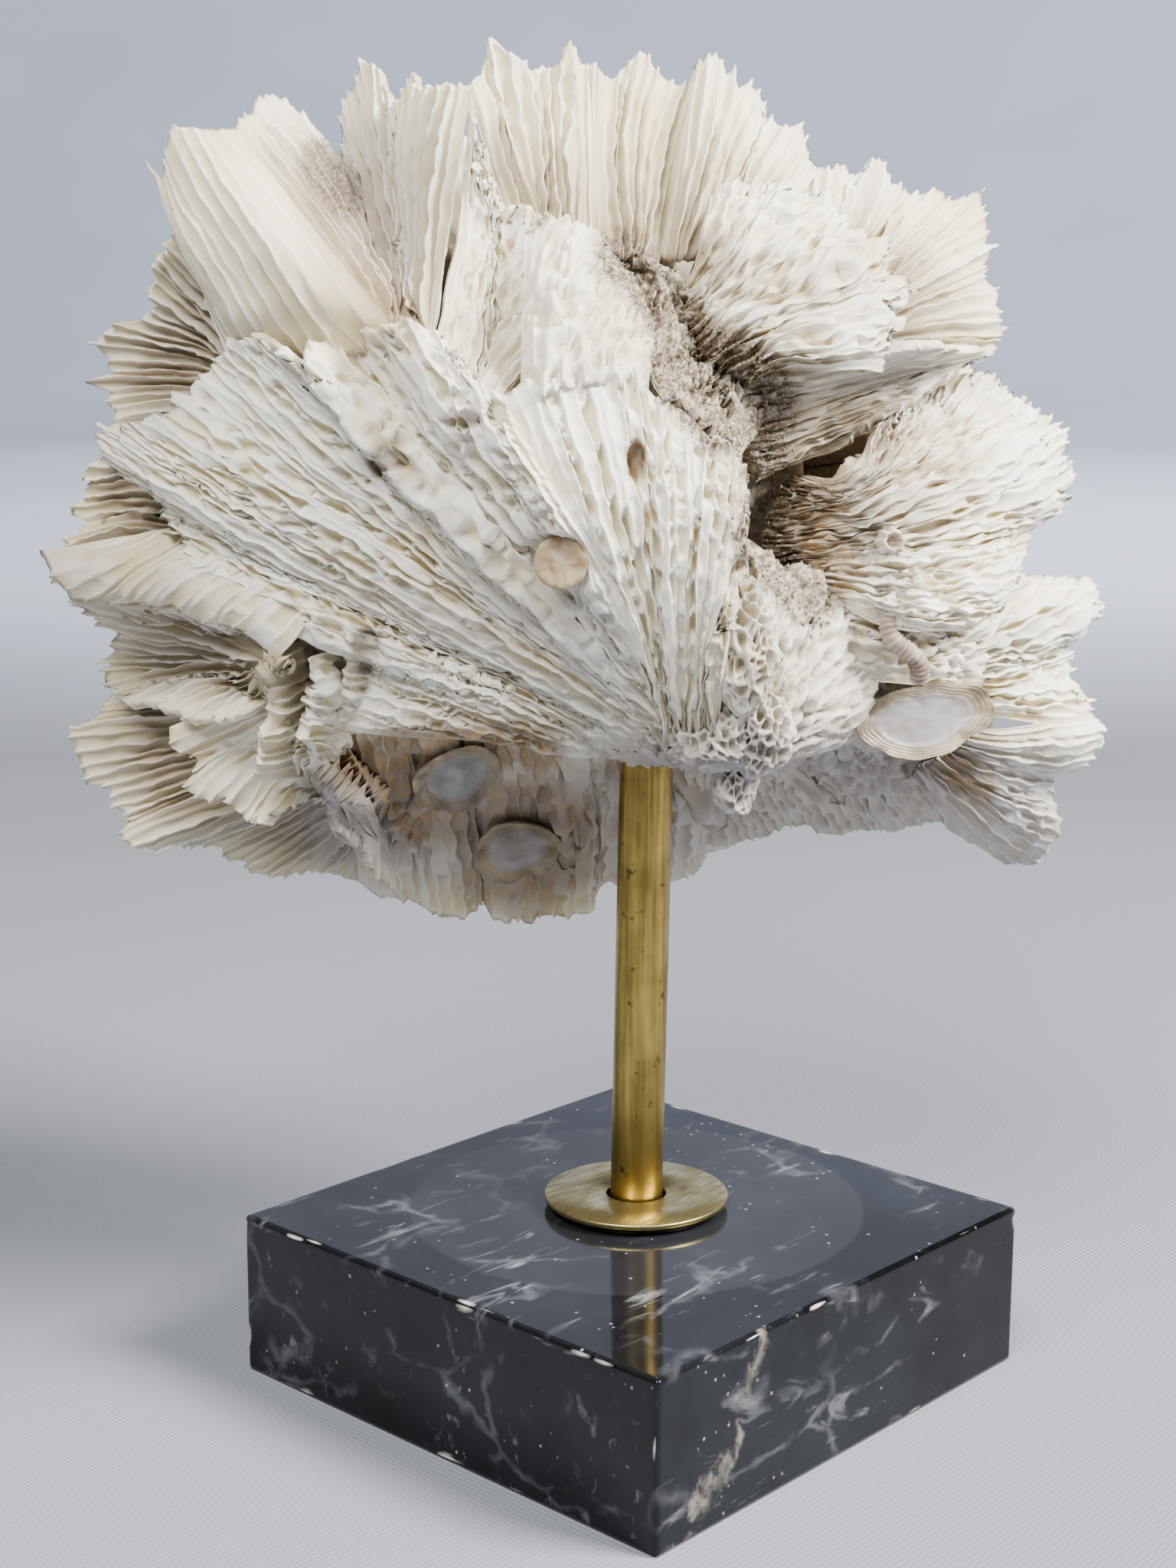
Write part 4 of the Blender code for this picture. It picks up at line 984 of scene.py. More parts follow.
def leaf_part(name):
    """A leaf as a closed part of a piece: rings about its wall, capped at both ends."""
    rings, hollow, deep = leaf_rings(name, 100 + list(FANS).index(name))
    columns, around = rings.shape[:2]
    ends = [np.arange(around)[::-1], np.arange(around) + (columns - 1) * around]
    return rings.reshape(-1, 3), ring_faces(columns, around, False), ends, hollow, deep


def valley_part(k, seeds, valleys):
    """A stretch of valley as a closed part of a piece, with one point in its middle and one far below."""
    rings, hollow, deep = valley_patch(k, seeds, valleys, np.random.default_rng(500 + k))
    columns, around = rings.shape[:2]
    sides = ring_faces(columns, around, True)
    sides = sides[sides[:, 0] % around != around - 1]
    middle = rings[:, 0].mean(0)
    below = centre_of_back() + 0.5 * (middle - centre_of_back())
    points = np.concatenate([rings.reshape(-1, 3), [middle, below]])
    first = np.arange(columns) * around
    last = first + around - 1
    top = np.stack([0 * first + len(points) - 2, np.roll(first, -1), first], -1)
    bottom = np.stack([0 * last + len(points) - 1, last, np.roll(last, -1)], -1)
    return points, sides, [*top, *bottom], *(np.append(marks, [1, 1]) for marks in (hollow, deep))


def lump_part(lump, fineness, size, height, deep):
    """A rough rounded mass as a closed part of a piece. size and height give its roughness."""
    centre, radii = lump
    cage = bmesh.new()
    bmesh.ops.create_icosphere(cage, subdivisions=fineness, radius=1)
    directions = np.array([corner.co for corner in cage.verts])
    sides = np.array([[corner.index for corner in face.verts] for face in cage.faces])
    cage.free()
    base = directions * np.array([radii[0], radii[2], radii[1]])
    middle = real(centre)
    bumps = rough(base + middle, size * 2, 4)
    walls = pores((base + middle) * np.array([1, 1, 0.55]), size, 2)
    points = middle + base + directions * (height * (bumps * 0.6 + walls * 1.3 - 1.6))[:, None]
    return points, sides, [], np.clip(1 - walls - bumps * 0.3, 0, 1), np.full(len(points), deep)


def coral_piece(name, parts, finish):
    """A visible piece of the coral, of closed parts that grow into each other. A part is its points, its
    sides, its end faces, and how hollow and how deep it is at each point."""
    points, faces, hollows, deeps, start = [], [], [], [], 0
    for places, sides, ends, hollow, deep in parts:
        turn = -1 if inside_out(places, sides) else 1
        faces += [(face[::turn] + start).tolist() for face in (*sides, *ends)]
        start += len(places)
        points.append(places)
        hollows.append(hollow.ravel())
        deeps.append(deep.ravel())
    points = np.concatenate(points)
    marks = {"hollow": np.concatenate(hollows), "deep": np.concatenate(deeps)}
    for kind in STAINS_AND_SHADE:
        marks[kind] = stain_and_shade(kind, points)
    return finished(name, mesh_from(name, in_part(points), faces, marks), finish, "coral", "coral")


def turned(profile, columns):
    """Rings of points about Z, from one pole to the other. profile is (distance out, height) pairs."""
    turn = np.linspace(0, 2 * math.pi, columns, endpoint=False)
    out, height = np.array(profile, float).T
    return np.stack([
        out[:, None] * np.cos(turn), out[:, None] * np.sin(turn), height[:, None] + 0 * turn], -1)


def turned_mesh(name, points, place, marks, ring=False):
    """A closed mesh of rings about Z, put in its place in metres. The first and last are poles that merge
    into one point each, or for a ring with a hole, neighbours."""
    faces = ring_faces(*points.shape[:2], ring)
    mesh = mesh_from(name, place(points.reshape(-1, 3)), faces.tolist(), marks)
    closed_up(mesh)
    return mesh


def on_stem(lean):
    """Where points about the stem's axis stand, in metres. Heights are above the table."""
    across = Vector((-math.sin(SHOW_SIDE), math.cos(SHOW_SIDE), 0))
    turn = np.array(Matrix.Rotation(lean, 3, across))
    foot = np.array([STEM_X, STEM_Y, BLOCK_HEIGHT])

    def place(points):
        return ((points - [0, 0, BLOCK_HEIGHT]) @ turn.T + foot) * MM
    return place


def on_coral(spot, facing, roll=0.0):
    """Where points about Z stand when Z looks along facing (right, up, near) from a spot on the coral."""
    ahead = np.array([facing[0], facing[2], facing[1]], float)
    ahead /= np.linalg.norm(ahead)
    over = np.array([0, 0, 1]) - ahead[2] * ahead
    over /= np.linalg.norm(over)
    side = -np.cross(over, ahead)
    turn = math.radians(roll)
    first = math.cos(turn) * side + math.sin(turn) * over
    second = -math.sin(turn) * side + math.cos(turn) * over

    def place(points):
        return in_part(real(spot) + points @ np.array([first, second, ahead]))
    return place


def oyster_piece(name, finish):
    """A cemented oyster valve seen from inside: a thin frilled lip in growth steps about a smooth hollow."""
    spot, facing, radii, roll = OYSTERS[name]
    top = [(0, 0), (0.2, 0.0), (0.4, 0.03), (0.55, 0.1), (0.66, 0.22)]
    top += [(0.7 + 0.3 * k / 12, 0.3 + 0.7 * k / 12 + (0.16 if k % 3 == 0 else 0)) for k in range(13)]
    low = [(1.0, 0.6), (0.95, 0.1), (0.85, -0.8), (0.6, -1.7), (0.3, -2.0), (0, -2.0)]
    rings = turned(top + low, 96)
    out = np.linalg.norm(rings[..., :2], axis=-1)
    turn = np.arctan2(rings[..., 1], rings[..., 0])
    uneven = 1 + 0.07 * np.sin(2 * turn + 0.8) + 0.05 * np.sin(3 * turn)
    frill = noise(np.stack([np.cos(turn) * 4, np.sin(turn) * 4, out * 3], -1), 1.0, len(name))
    uneven = uneven + 0.07 * frill * out**2
    height = rings[..., 2] * OYSTER_LIP + 0.5 * frill * out**3
    flat_spots = np.stack([rings[..., 0] * 6, rings[..., 1] * 6, 0 * out], -1)
    height = height + 0.25 * rough(flat_spots, 1.6, 2) * out
    points = np.stack([
        rings[..., 0] * uneven * radii[0], rings[..., 1] * uneven * radii[1], height], -1)
    lip = smooth(0.6, 0.8, out)
    mesh = turned_mesh(name, points, on_coral(spot, facing, roll), {"lip": lip})
    return finished(name + "_shell", mesh, finish, "oyster_shell", name)


def plate_piece(finish):
    """The round base plate of a barnacle that has gone: thin, gritty, with a worn edge."""
    profile = [(0, 1.0), (1.2, 1.0), (2.4, 1.05), (3.3, 1.2), (3.9, 1.25)]
    profile += [(4.2, 1.1), (4.3, 0.7), (4.3, -0.6), (0, -0.6)]
    rings = turned(profile, 64)
    rings = rings * (1 + 0.03 * noise(rings, 2.5, 3))[..., None]
    rings[..., 2] += 0.14 * rough(rings, 1.1, 6) * (rings[..., 2] > 0.5)
    mesh = turned_mesh("plate", rings, on_coral(PLATE_SPOT, PLATE_FACING), {})
    return finished("barnacle_base_plate", mesh, finish, "barnacle", "barnacle_plate")


def barnacle_piece(finish):
    """A small barnacle: a ribbed cone with an open mouth."""
    profile = [(0, 0.4), (0.8, 0.5), (1.1, 1.3), (1.35, 2.0), (1.6, 2.1)]
    profile += [(1.9, 1.5), (2.4, 0.4), (2.8, -1.2), (0, -1.2)]
    rings = turned(profile, 60)
    turn = np.arctan2(rings[..., 1], rings[..., 0])
    rings[..., :2] *= (1 + 0.07 * np.cos(8 * turn) + 0.05 * noise(rings, 1.0, 2))[..., None]
    mesh = turned_mesh("barnacle", rings, on_coral(BARNACLE_SPOT, BARNACLE_FACING), {})
    return finished("barnacle_cone", mesh, finish, "barnacle", "barnacle")


def new_tree(name, numbers):
    """A tree that changes one geometry, with named numbers as its inputs. With it come the numbers by
    their identifiers."""
    tree = bpy.data.node_groups.new(name, "GeometryNodeTree")
    tree.interface.new_socket("Geometry", in_out="INPUT", socket_type="NodeSocketGeometry")
    tree.interface.new_socket("Geometry", in_out="OUTPUT", socket_type="NodeSocketGeometry")
    values = {}
    for number, value in numbers.items():
        kind = "NodeSocketInt" if isinstance(value, int) else "NodeSocketFloat"
        socket = tree.interface.new_socket(number, in_out="INPUT", socket_type=kind)
        socket.default_value = value
        values[socket.identifier] = value
    return tree, values


def grown_mesh(data, tree, values):
    """The plain mesh that a tree makes from a mesh or a curve. values are its numbers by identifier."""
    source = bpy.data.objects.new("source", data)
    bpy.context.scene.collection.objects.link(source)
    grow = source.modifiers.new("grow", "NODES")
    grow.node_group = tree
    for identifier, value in values.items():
        grow[identifier] = value
    bpy.context.view_layer.update()
    shape = source.evaluated_get(bpy.context.evaluated_depsgraph_get())
    mesh = bpy.data.meshes.new_from_object(shape)
    source.modifiers.remove(grow)
    bpy.data.objects.remove(source)
    return mesh


def finish_tree(tree, shape, finish):
    """Ends a tree: its copies become real, and take their finish."""
    whole = add(tree, "GeometryNodeRealizeInstances", {"Geometry": shape}).outputs["Geometry"]
    coated = add(tree, "GeometryNodeSetMaterial", {"Geometry": whole, "Material": finish}).outputs["Geometry"]
    add(tree, "NodeGroupOutput", {"Geometry": coated})


def worm_piece(finish):
    """The limy tube of a worm: swept along its path, and ringed where it grew in steps."""
    tree, values = new_tree("ringed tube", {
        "Radius": WORM_RADIUS * MM, "Ring spacing": WORM_RINGS * MM, "Ring depth": WORM_RING_DEPTH})
    given = add(tree, "NodeGroupInput").outputs
    path = add(tree, "GeometryNodeResampleCurve", {
        "Curve": given["Geometry"], "Length": 0.00018}, mode="LENGTH").outputs["Curve"]
    length = add(tree, "GeometryNodeSplineParameter").outputs["Length"]
    turns = add(tree, "ShaderNodeMath", {0: length, 1: given["Ring spacing"]}, operation="DIVIDE")
    wave = add(tree, "ShaderNodeMath", {0: turns.outputs[0], 1: 0.5}, operation="PINGPONG")
    cut = add(tree, "ShaderNodeMath", {0: wave.outputs[0], 1: given["Ring depth"]}, operation="MULTIPLY")
    share = add(tree, "ShaderNodeMath", {0: 1.0, 1: cut.outputs[0]}, operation="SUBTRACT")
    wide = add(tree, "ShaderNodeMath", {0: share.outputs[0], 1: given["Radius"]}, operation="MULTIPLY")
    ring = add(tree, "GeometryNodeCurvePrimitiveCircle", {"Resolution": 18, "Radius": 1.0}).outputs["Curve"]
    tube = add(tree, "GeometryNodeCurveToMesh", {
        "Curve": path, "Profile Curve": ring, "Scale": wide.outputs[0], "Fill Caps": True}).outputs["Mesh"]
    finish_tree(tree, tube, finish)
    places = in_part(along([real(p) for p in WORM_PATH], np.linspace(0, 1, 40)))
    curve = bpy.data.curves.new("worm path", "CURVE")
    curve.dimensions = "3D"
    line = curve.splines.new("POLY")
    line.points.add(len(places) - 1)
    for point, where in zip(line.points, places):
        point.co = (*where, 1)
    mesh = grown_mesh(curve, tree, values)
    closed_up(mesh, lambda spot: 0.16 * rough(spot, 1.3, 4))
    return finished("worm_tube_ringed", mesh, finish, "worm_tube", "worm_tube")


def grains_piece(piece, finish):
    """Sand and shell crumbs that stick where the coral is gritty, scattered by the grit mark of a piece."""
    tree, values = new_tree("scattered grains", {
        "Grains to a square metre": GRAINS / MM**2, "Grain radius": GRAIN_RADIUS * MM, "Seed": GRAIN_SEED})
    given = add(tree, "NodeGroupInput").outputs
    mark = add(tree, "GeometryNodeInputNamedAttribute", {"Name": "grit"}).outputs["Attribute"]
    there = add(tree, "ShaderNodeMath", {0: mark, 1: 3.0}, operation="POWER").outputs[0]
    dense = add(tree, "ShaderNodeMath", {
        0: there, 1: given["Grains to a square metre"]}, operation="MULTIPLY").outputs[0]
    spots = add(tree, "GeometryNodeDistributePointsOnFaces", {
        "Mesh": given["Geometry"], "Density": dense, "Seed": given["Seed"]}).outputs["Points"]
    grain = add(tree, "GeometryNodeMeshIcoSphere", {"Radius": given["Grain radius"], "Subdivisions": 1})
    ways, scales = (
        add(tree, "FunctionNodeRandomValue", {"Seed": given["Seed"], "Min": low, "Max": high},
            data_type="FLOAT_VECTOR").outputs["Value"]
        for low, high in (((0, 0, 0), (6.28, 6.28, 6.28)), ((0.4, 0.4, 0.3), (1.3, 1.1, 0.9)))
    )
    placed = add(tree, "GeometryNodeInstanceOnPoints", {
        "Points": spots, "Instance": grain.outputs["Mesh"], "Rotation": ways, "Scale": scales})
    finish_tree(tree, placed.outputs["Instances"], finish)
    mesh = grown_mesh(piece.data, tree, values)
    return finished("grains_on_" + piece.name, mesh, finish, "coral")


def block_piece(finish):
    """The marble block: polished faces, a narrow rounded arris, and small bruises along it."""
    steps = [0, 0.2, 0.4, 0.65, 0.9, 1.2]
    inner = np.linspace(2.0, BLOCK_SIDE - 2.0, 41)
    sides = np.concatenate([steps, inner, BLOCK_SIDE - np.array(steps[::-1])]) - BLOCK_SIDE / 2
    inner_ups = np.linspace(2.0, BLOCK_HEIGHT - 2.0, 12)
    ups = np.concatenate([steps, inner_ups, BLOCK_HEIGHT - np.array(steps[::-1])])
    low = np.array([-BLOCK_SIDE / 2, -BLOCK_SIDE / 2, 0])
    high = np.array([BLOCK_SIDE / 2, BLOCK_SIDE / 2, BLOCK_HEIGHT])
    points, faces, start = [], [], 0
    for axis, grids in enumerate(((sides, ups), (sides, ups), (sides, sides))):
        for end in (low[axis], high[axis]):
            face = np.stack(np.meshgrid(*grids, indexing="ij"), -1)
            rows, cols = face.shape[:2]
            k = np.arange(rows - 1)[:, None] * cols + np.arange(cols - 1) + start
            points.append(np.insert(face, axis, end, axis=-1).reshape(-1, 3))
            faces.append(np.stack([k, k + cols, k + cols + 1, k + 1], -1).reshape(-1, 4))
            start += rows * cols
    points = np.concatenate(points)
    core = np.clip(points, low + BLOCK_ARRIS, high - BLOCK_ARRIS)
    ways = points - core
    length = np.linalg.norm(ways, axis=-1)
    near_edge = np.sort(np.minimum(points - low, high - points), axis=-1)[:, 1]
    ways = ways / np.maximum(length, 1e-9)[:, None]
    bruise = np.clip(rough(points, 2.3, 9) - 0.62, 0, 0.6) * smooth(1.7, 0.3, near_edge)
    bruise = bruise * (points[:, 2] > 0.5)
    points = core + ways * (BLOCK_ARRIS - 1.3 * bruise)[:, None]
    mesh = mesh_from("marble_block", points * MM, np.concatenate(faces).tolist(), {"bruise": bruise * 4})
    closed_up(mesh)
    return finished("marble_block", mesh, finish, "marble", "marble_base")


def stem_pieces(brass, bright_brass, glue):
    """The brass rod, its loose round collar and the dark pad that the collar is stuck down with, near black
    so that it also stands for the shaded gap under the collar.
    """
    edge = 0.3
    rod = [(0, STEM_FOOT), (STEM_RADIUS - edge, STEM_FOOT), (STEM_RADIUS, STEM_FOOT + edge)]
    rod += [(STEM_RADIUS, up) for up in np.linspace(STEM_FOOT + 2, STEM_TOP - 2, 60)]
    rod += [(STEM_RADIUS, STEM_TOP - edge), (STEM_RADIUS - edge, STEM_TOP), (0, STEM_TOP)]
    rings = turned(rod, 72)
    rings[..., :2] *= (1 + 0.004 * noise(rings, 14.0, 5))[..., None]
    mesh = turned_mesh("rod", rings, on_stem(STEM_LEAN), {})
    finished("brass_rod", mesh, brass, "brass", "brass_stem")
    for name, hole, wide, low, high, finish, slot, node in (
        ("collar_disc", COLLAR_HOLE_RADIUS, COLLAR_RADIUS, COLLAR_BOTTOM, COLLAR_BOTTOM + COLLAR_THICKNESS,
         bright_brass, "brass", "brass_collar"),
        ("pad_disc", COLLAR_HOLE_RADIUS, PAD_RADIUS, PAD_BOTTOM, PAD_BOTTOM + PAD_THICKNESS,
         glue, "glue", "glue_pad"),
    ):
        bevel = 0.15
        ring = [(hole, high - bevel), (hole + bevel, high), (wide - bevel, high), (wide, high - bevel),
                (wide, low + bevel), (wide - bevel, low), (hole + bevel, low), (hole, low + bevel)]
        points = turned(ring, 120)
        points[..., 2] += 0.05 * noise(points, 6.0, 2)
        finished(name, turned_mesh(name, points, on_stem(0), {}, ring=True), finish, slot, node)


# Finishes

def colour(code):
    """An sRGB hex code as linear red, green, blue and alpha."""
    parts = [int(code[k:k + 2], 16) / 255 for k in (0, 2, 4)]
    return (*[p / 12.92 if p <= 0.04045 else ((p + 0.055) / 1.055) ** 2.4 for p in parts], 1)


def add(tree, kind, inputs=(), stops=(), **settings):
    """Adds one node. settings are its own properties, inputs gives a value or a linked output for each
    named socket, and stops are a ramp's places and colours."""
    made = tree.nodes.new(kind)
    for name, value in settings.items():
        setattr(made, name, value)
    for name, value in dict(inputs).items():
        if isinstance(value, bpy.types.NodeSocket):
            tree.links.new(value, made.inputs[name])
        else:
            made.inputs[name].default_value = value
    for k, (place, code) in enumerate(stops):
        stop = made.color_ramp.elements[k] if k < 2 else made.color_ramp.elements.new(place)
        stop.position = place
        stop.color = colour(code)
    return made


def finish_of(name, **values):
    """A new Principled material and its node tree and shader, with constant values set on the shader."""
    made = bpy.data.materials.new(name)
    made.use_nodes = True
    shader = made.node_tree.nodes["Principled BSDF"]
    for socket, value in values.items():
        shader.inputs[socket.replace("_", " ")].default_value = value
    return made, made.node_tree, shader


def scale_of(width):
    """The scale of a pattern on metres whose clouds or cells are about width millimetres across."""
    return 1 / (width * MM)


def layer(tree, under, masks, share, over):
    """Lays one colour over another, as much as a share times all of its masks."""
    for mask in masks:
        share = add(tree, "ShaderNodeMath", {0: mask, 1: share}, operation="MULTIPLY").outputs[0]
    return add(tree, "ShaderNodeMix", {0: share, 6: under, 7: over}, data_type="RGBA").outputs[2]


def patches(tree, place, width, detail, thin, thick, least=0.0, most=1.0, twist=0.0):
    """A mask of soft patches: least where clouds of this width are thinner than thin, and most where they
    are thicker than thick."""
    cloud = add(tree, "ShaderNodeTexNoise", {
        "Vector": place, "Scale": scale_of(width), "Detail": detail, "Roughness": 0.6, "Distortion": twist})
    return add(tree, "ShaderNodeMapRange", {
        "Value": cloud.outputs["Fac"], 1: thin, 2: thick, 3: least, 4: most}).outputs[0]


def coral_finish():
    """Aragonite skeleton, grown by the animal and bleached: creamy white crests, warmer in grooves and cells,
    partly from its translucency and partly as painted shade, and darker where it is deep, as painted shade.
    On it are grey-brown grit, brown stains, a few of them painted shade, and a painted lilac grey shade on
    the underside and in shaded valleys."""
    made, tree, shader = finish_of(
        "bleached coral aragonite", Roughness=0.62, IOR=1.53, Subsurface_Weight=0.1, Subsurface_Scale=0.002)
    shader.inputs["Subsurface Radius"].default_value = (1.0, 0.8, 0.5)
    place = add(tree, "ShaderNodeTexCoord").outputs["Object"]
    marks = {
        kind: add(tree, "ShaderNodeAttribute", attribute_name=kind).outputs["Fac"]
        for kind in ("hollow", "deep", *STAINS_AND_SHADE)
    }
    clouds = add(tree, "ShaderNodeTexNoise", {
        "Vector": place, "Scale": scale_of(18.2), "Detail": 3}).outputs["Fac"]
    specks = add(tree, "ShaderNodeTexNoise", {
        "Vector": place, "Scale": scale_of(1.61), "Detail": 4}).outputs["Fac"]
    grains = add(tree, "ShaderNodeTexVoronoi", {"Vector": place, "Scale": scale_of(0.77)}).outputs["Distance"]
    broken = add(tree, "ShaderNodeMapRange", {"Value": specks, 1: 0.32, 2: 0.6, 3: 0.55, 4: 1.2}).outputs[0]
    cream, hollow, brown, grit = (
        add(tree, "ShaderNodeValToRGB", {"Fac": pattern}, stops).outputs["Color"]
        for pattern, stops in (
            (clouds, [(0.3, "F4EEDF"), (0.7, "FAF7EE")]), (clouds, [(0.3, "D8C693"), (0.7, "E8DDBD")]),
            (specks, [(0.35, "54402B"), (0.65, "AE8C5C")]), (grains, [(0.1, "A89B88"), (0.6, "5F5040")]))
    )
    # Partly painted shade: grooves and cell floors turn warmer and darker, which is partly the coral's own
    # translucent tone.
    tone = layer(tree, cream, [marks["hollow"]], 0.8, hollow)
    # Painted shade: darker towards leaf roots, on valley floors and on the inner masses.
    tone = layer(tree, tone, [marks["deep"]], 0.85, colour("98876C"))
    # Painted shade: a lilac grey on the underside and in shaded valleys.
    tone = layer(tree, tone, [marks["grey"]], 0.75, colour("A69F9D"))
    # Brown stains; a few of the brown lines are painted shade, on the left leaves and in the valley by the
    # blade.
    tone = layer(tree, tone, [marks["brown"], broken], 0.85, brown)
    tone = layer(tree, tone, [marks["grit"], broken], 0.95, grit)
    tree.links.new(tone, shader.inputs["Base Color"])
    bump = add(tree, "ShaderNodeBump", {"Height": specks, "Strength": 0.35, "Distance": 0.0004})
    tree.links.new(bump.outputs["Normal"], shader.inputs["Normal"])
    return made


def marble_finish():
    """Black marble, sawn and polished: near black with grey clouds, thin white veins and short white
    flecks, and a broad stained vein on one side. It mirrors the room, but for a dulled round on its top."""
    made, tree, shader = finish_of("polished black marble", IOR=1.5, Specular_IOR_Level=0.24)
    place = add(tree, "ShaderNodeTexCoord").outputs["Object"]
    dark = add(tree, "ShaderNodeTexNoise", {
        "Vector": place, "Scale": scale_of(33.3), "Detail": 6, "Roughness": 0.65}).outputs["Fac"]
    ground = add(tree, "ShaderNodeValToRGB", {"Fac": dark}, [(0.38, "08090A"), (0.72, "1C1E22")])
    along_veins, along_strokes = (
        add(tree, "ShaderNodeMapping", {
            "Vector": place, "Rotation": tuple(math.radians(a) for a in turn), "Scale": scale}).outputs[0]
        for turn, scale in (((25, 30, 40), (1, 0.45, 1.3)), ((0, 35, 52), (1, 0.2, 0.6)))
    )
    drift = add(tree, "ShaderNodeTexNoise", {
        "Vector": place, "Scale": scale_of(22.2), "Detail": 4}).outputs["Color"]
    bent = add(tree, "ShaderNodeMix", {0: 0.025, 4: along_veins, 5: drift}, data_type="VECTOR").outputs[1]
    lines = add(tree, "ShaderNodeTexVoronoi", {
        "Vector": bent, "Scale": scale_of(21.7)}, feature="DISTANCE_TO_EDGE")
    dots = add(tree, "ShaderNodeTexVoronoi", {"Vector": place, "Scale": scale_of(2.38)})
    veins, specks = (
        add(tree, "ShaderNodeMapRange", {"Value": far.outputs["Distance"], 2: reach, 3: 1, 4: 0}).outputs[0]
        for far, reach in ((lines, 0.05), (dots, 0.16))
    )
    strokes = patches(tree, along_strokes, 3.33, 4, 0.6, 0.76, twist=0.8)

    # The broad vein runs on a slant over the side whose x is the highest.
    slant = add(tree, "ShaderNodeVectorMath", {0: place, 1: (0, 1, -0.68)}, operation="DOT_PRODUCT")
    wavy = patches(tree, place, 14.3, 5, 0.3, 0.7, 0.0365, 0.0485)
    off = add(tree, "ShaderNodeMath", {0: slant.outputs["Value"], 1: wavy}, operation="ADD").outputs[0]
    off = add(tree, "ShaderNodeMath", {0: off}, operation="ABSOLUTE").outputs[0]
    broad = add(tree, "ShaderNodeMapRange", {"Value": off, 1: 0.0002, 2: 0.0024, 3: 1, 4: 0}).outputs[0]
    x = add(tree, "ShaderNodeSeparateXYZ", {"Vector": place}).outputs["X"]
    on_side = add(tree, "ShaderNodeMath", {0: x, 1: 0.049}, operation="GREATER_THAN").outputs[0]

    bruise = add(tree, "ShaderNodeAttribute", attribute_name="bruise").outputs["Fac"]
    chipped = add(tree, "ShaderNodeMapRange", {"Value": bruise, 1: 0.05, 2: 0.5}).outputs[0]
    from_rod = add(tree, "ShaderNodeVectorMath", {
        0: place, 1: (STEM_X * MM, STEM_Y * MM, BLOCK_HEIGHT * MM)}, operation="DISTANCE")
    dull = add(tree, "ShaderNodeMapRange", {
        "Value": from_rod.outputs["Value"], 1: DULL_RADIUS * MM, 2: (DULL_RADIUS - 0.8) * MM}).outputs[0]
    tone = ground.outputs["Color"]
    for masks, share, code in (
        ([veins, patches(tree, place, 16.7, 3, 0.48, 0.68)], 0.28, "8E9096"),
        ([strokes, patches(tree, place, 16.7, 2, 0.42, 0.6)], 0.5, "A2A5AA"),
        ([specks, patches(tree, place, 6.67, 2, 0.55, 0.62)], 0.7, "D0D0CE"),
        ([broad, on_side, patches(tree, place, 3.85, 4, 0.4, 0.62)], 0.7, "8D867C"),
        ([chipped], 1.0, "C9C8C4"),
        ([dull], 0.04, "7C808A"),
    ):
        tone = layer(tree, tone, masks, share, colour(code))
    tree.links.new(tone, shader.inputs["Base Color"])
    smear = patches(tree, place, 22.2, 3, 0.4, 0.7, 0.03, 0.09)
    smear = add(tree, "ShaderNodeMath", {0: dull, 1: 0.05, 2: smear}, operation="MULTIPLY_ADD").outputs[0]
    rubbed = add(tree, "ShaderNodeMapRange", {"Value": bruise, 1: 0.02, 2: 0.3, 4: 0.6}).outputs[0]
    smear = add(tree, "ShaderNodeMath", {0: smear, 1: rubbed}, operation="ADD").outputs[0]
    tree.links.new(smear, shader.inputs["Roughness"])
    return made


def brass_finish(name, dark, light, spots, scale):
    """Drawn brass, lacquer gone and handled: satin yellow with brown tarnish, dark spots and fine
    scratches along its length."""
    made, tree, shader = finish_of(name, Metallic=1.0)
    place = add(tree, "ShaderNodeTexCoord").outputs["Object"]
    streaked = add(tree, "ShaderNodeMapping", {"Vector": place, "Scale": scale}).outputs[0]
    cloud = add(tree, "ShaderNodeTexNoise", {
        "Vector": place, "Scale": scale_of(14.3), "Detail": 6, "Roughness": 0.6}).outputs["Fac"]
    streaks = add(tree, "ShaderNodeTexNoise", {
        "Vector": streaked, "Scale": scale_of(1.11), "Detail": 4}).outputs["Fac"]
    both = add(tree, "ShaderNodeMath", {0: cloud, 1: streaks}, operation="ADD").outputs[0]
    bright = add(tree, "ShaderNodeMapRange", {"Value": both, 1: 0.75, 2: 1.25}).outputs[0]
    tone = add(tree, "ShaderNodeValToRGB", {"Fac": bright}, [(0.1, dark), (0.85, light)])
    dots = add(tree, "ShaderNodeTexNoise", {
        "Vector": place, "Scale": scale_of(2.38), "Detail": 3}).outputs["Fac"]
    spotted = add(tree, "ShaderNodeMapRange", {"Value": dots, 1: 0.64, 2: 0.72, 4: spots}).outputs[0]
    tone = layer(tree, tone.outputs["Color"], [spotted], 1.0, colour("4A3F22"))
    tree.links.new(tone, shader.inputs["Base Color"])
    satin = add(tree, "ShaderNodeMapRange", {"Value": both, 1: 0.75, 2: 1.25, 3: 0.42, 4: 0.27}).outputs[0]
    tree.links.new(satin, shader.inputs["Roughness"])
    bump = add(tree, "ShaderNodeBump", {"Height": streaks, "Strength": 0.25, "Distance": 0.0001})
    tree.links.new(bump.outputs["Normal"], shader.inputs["Normal"])
    return made


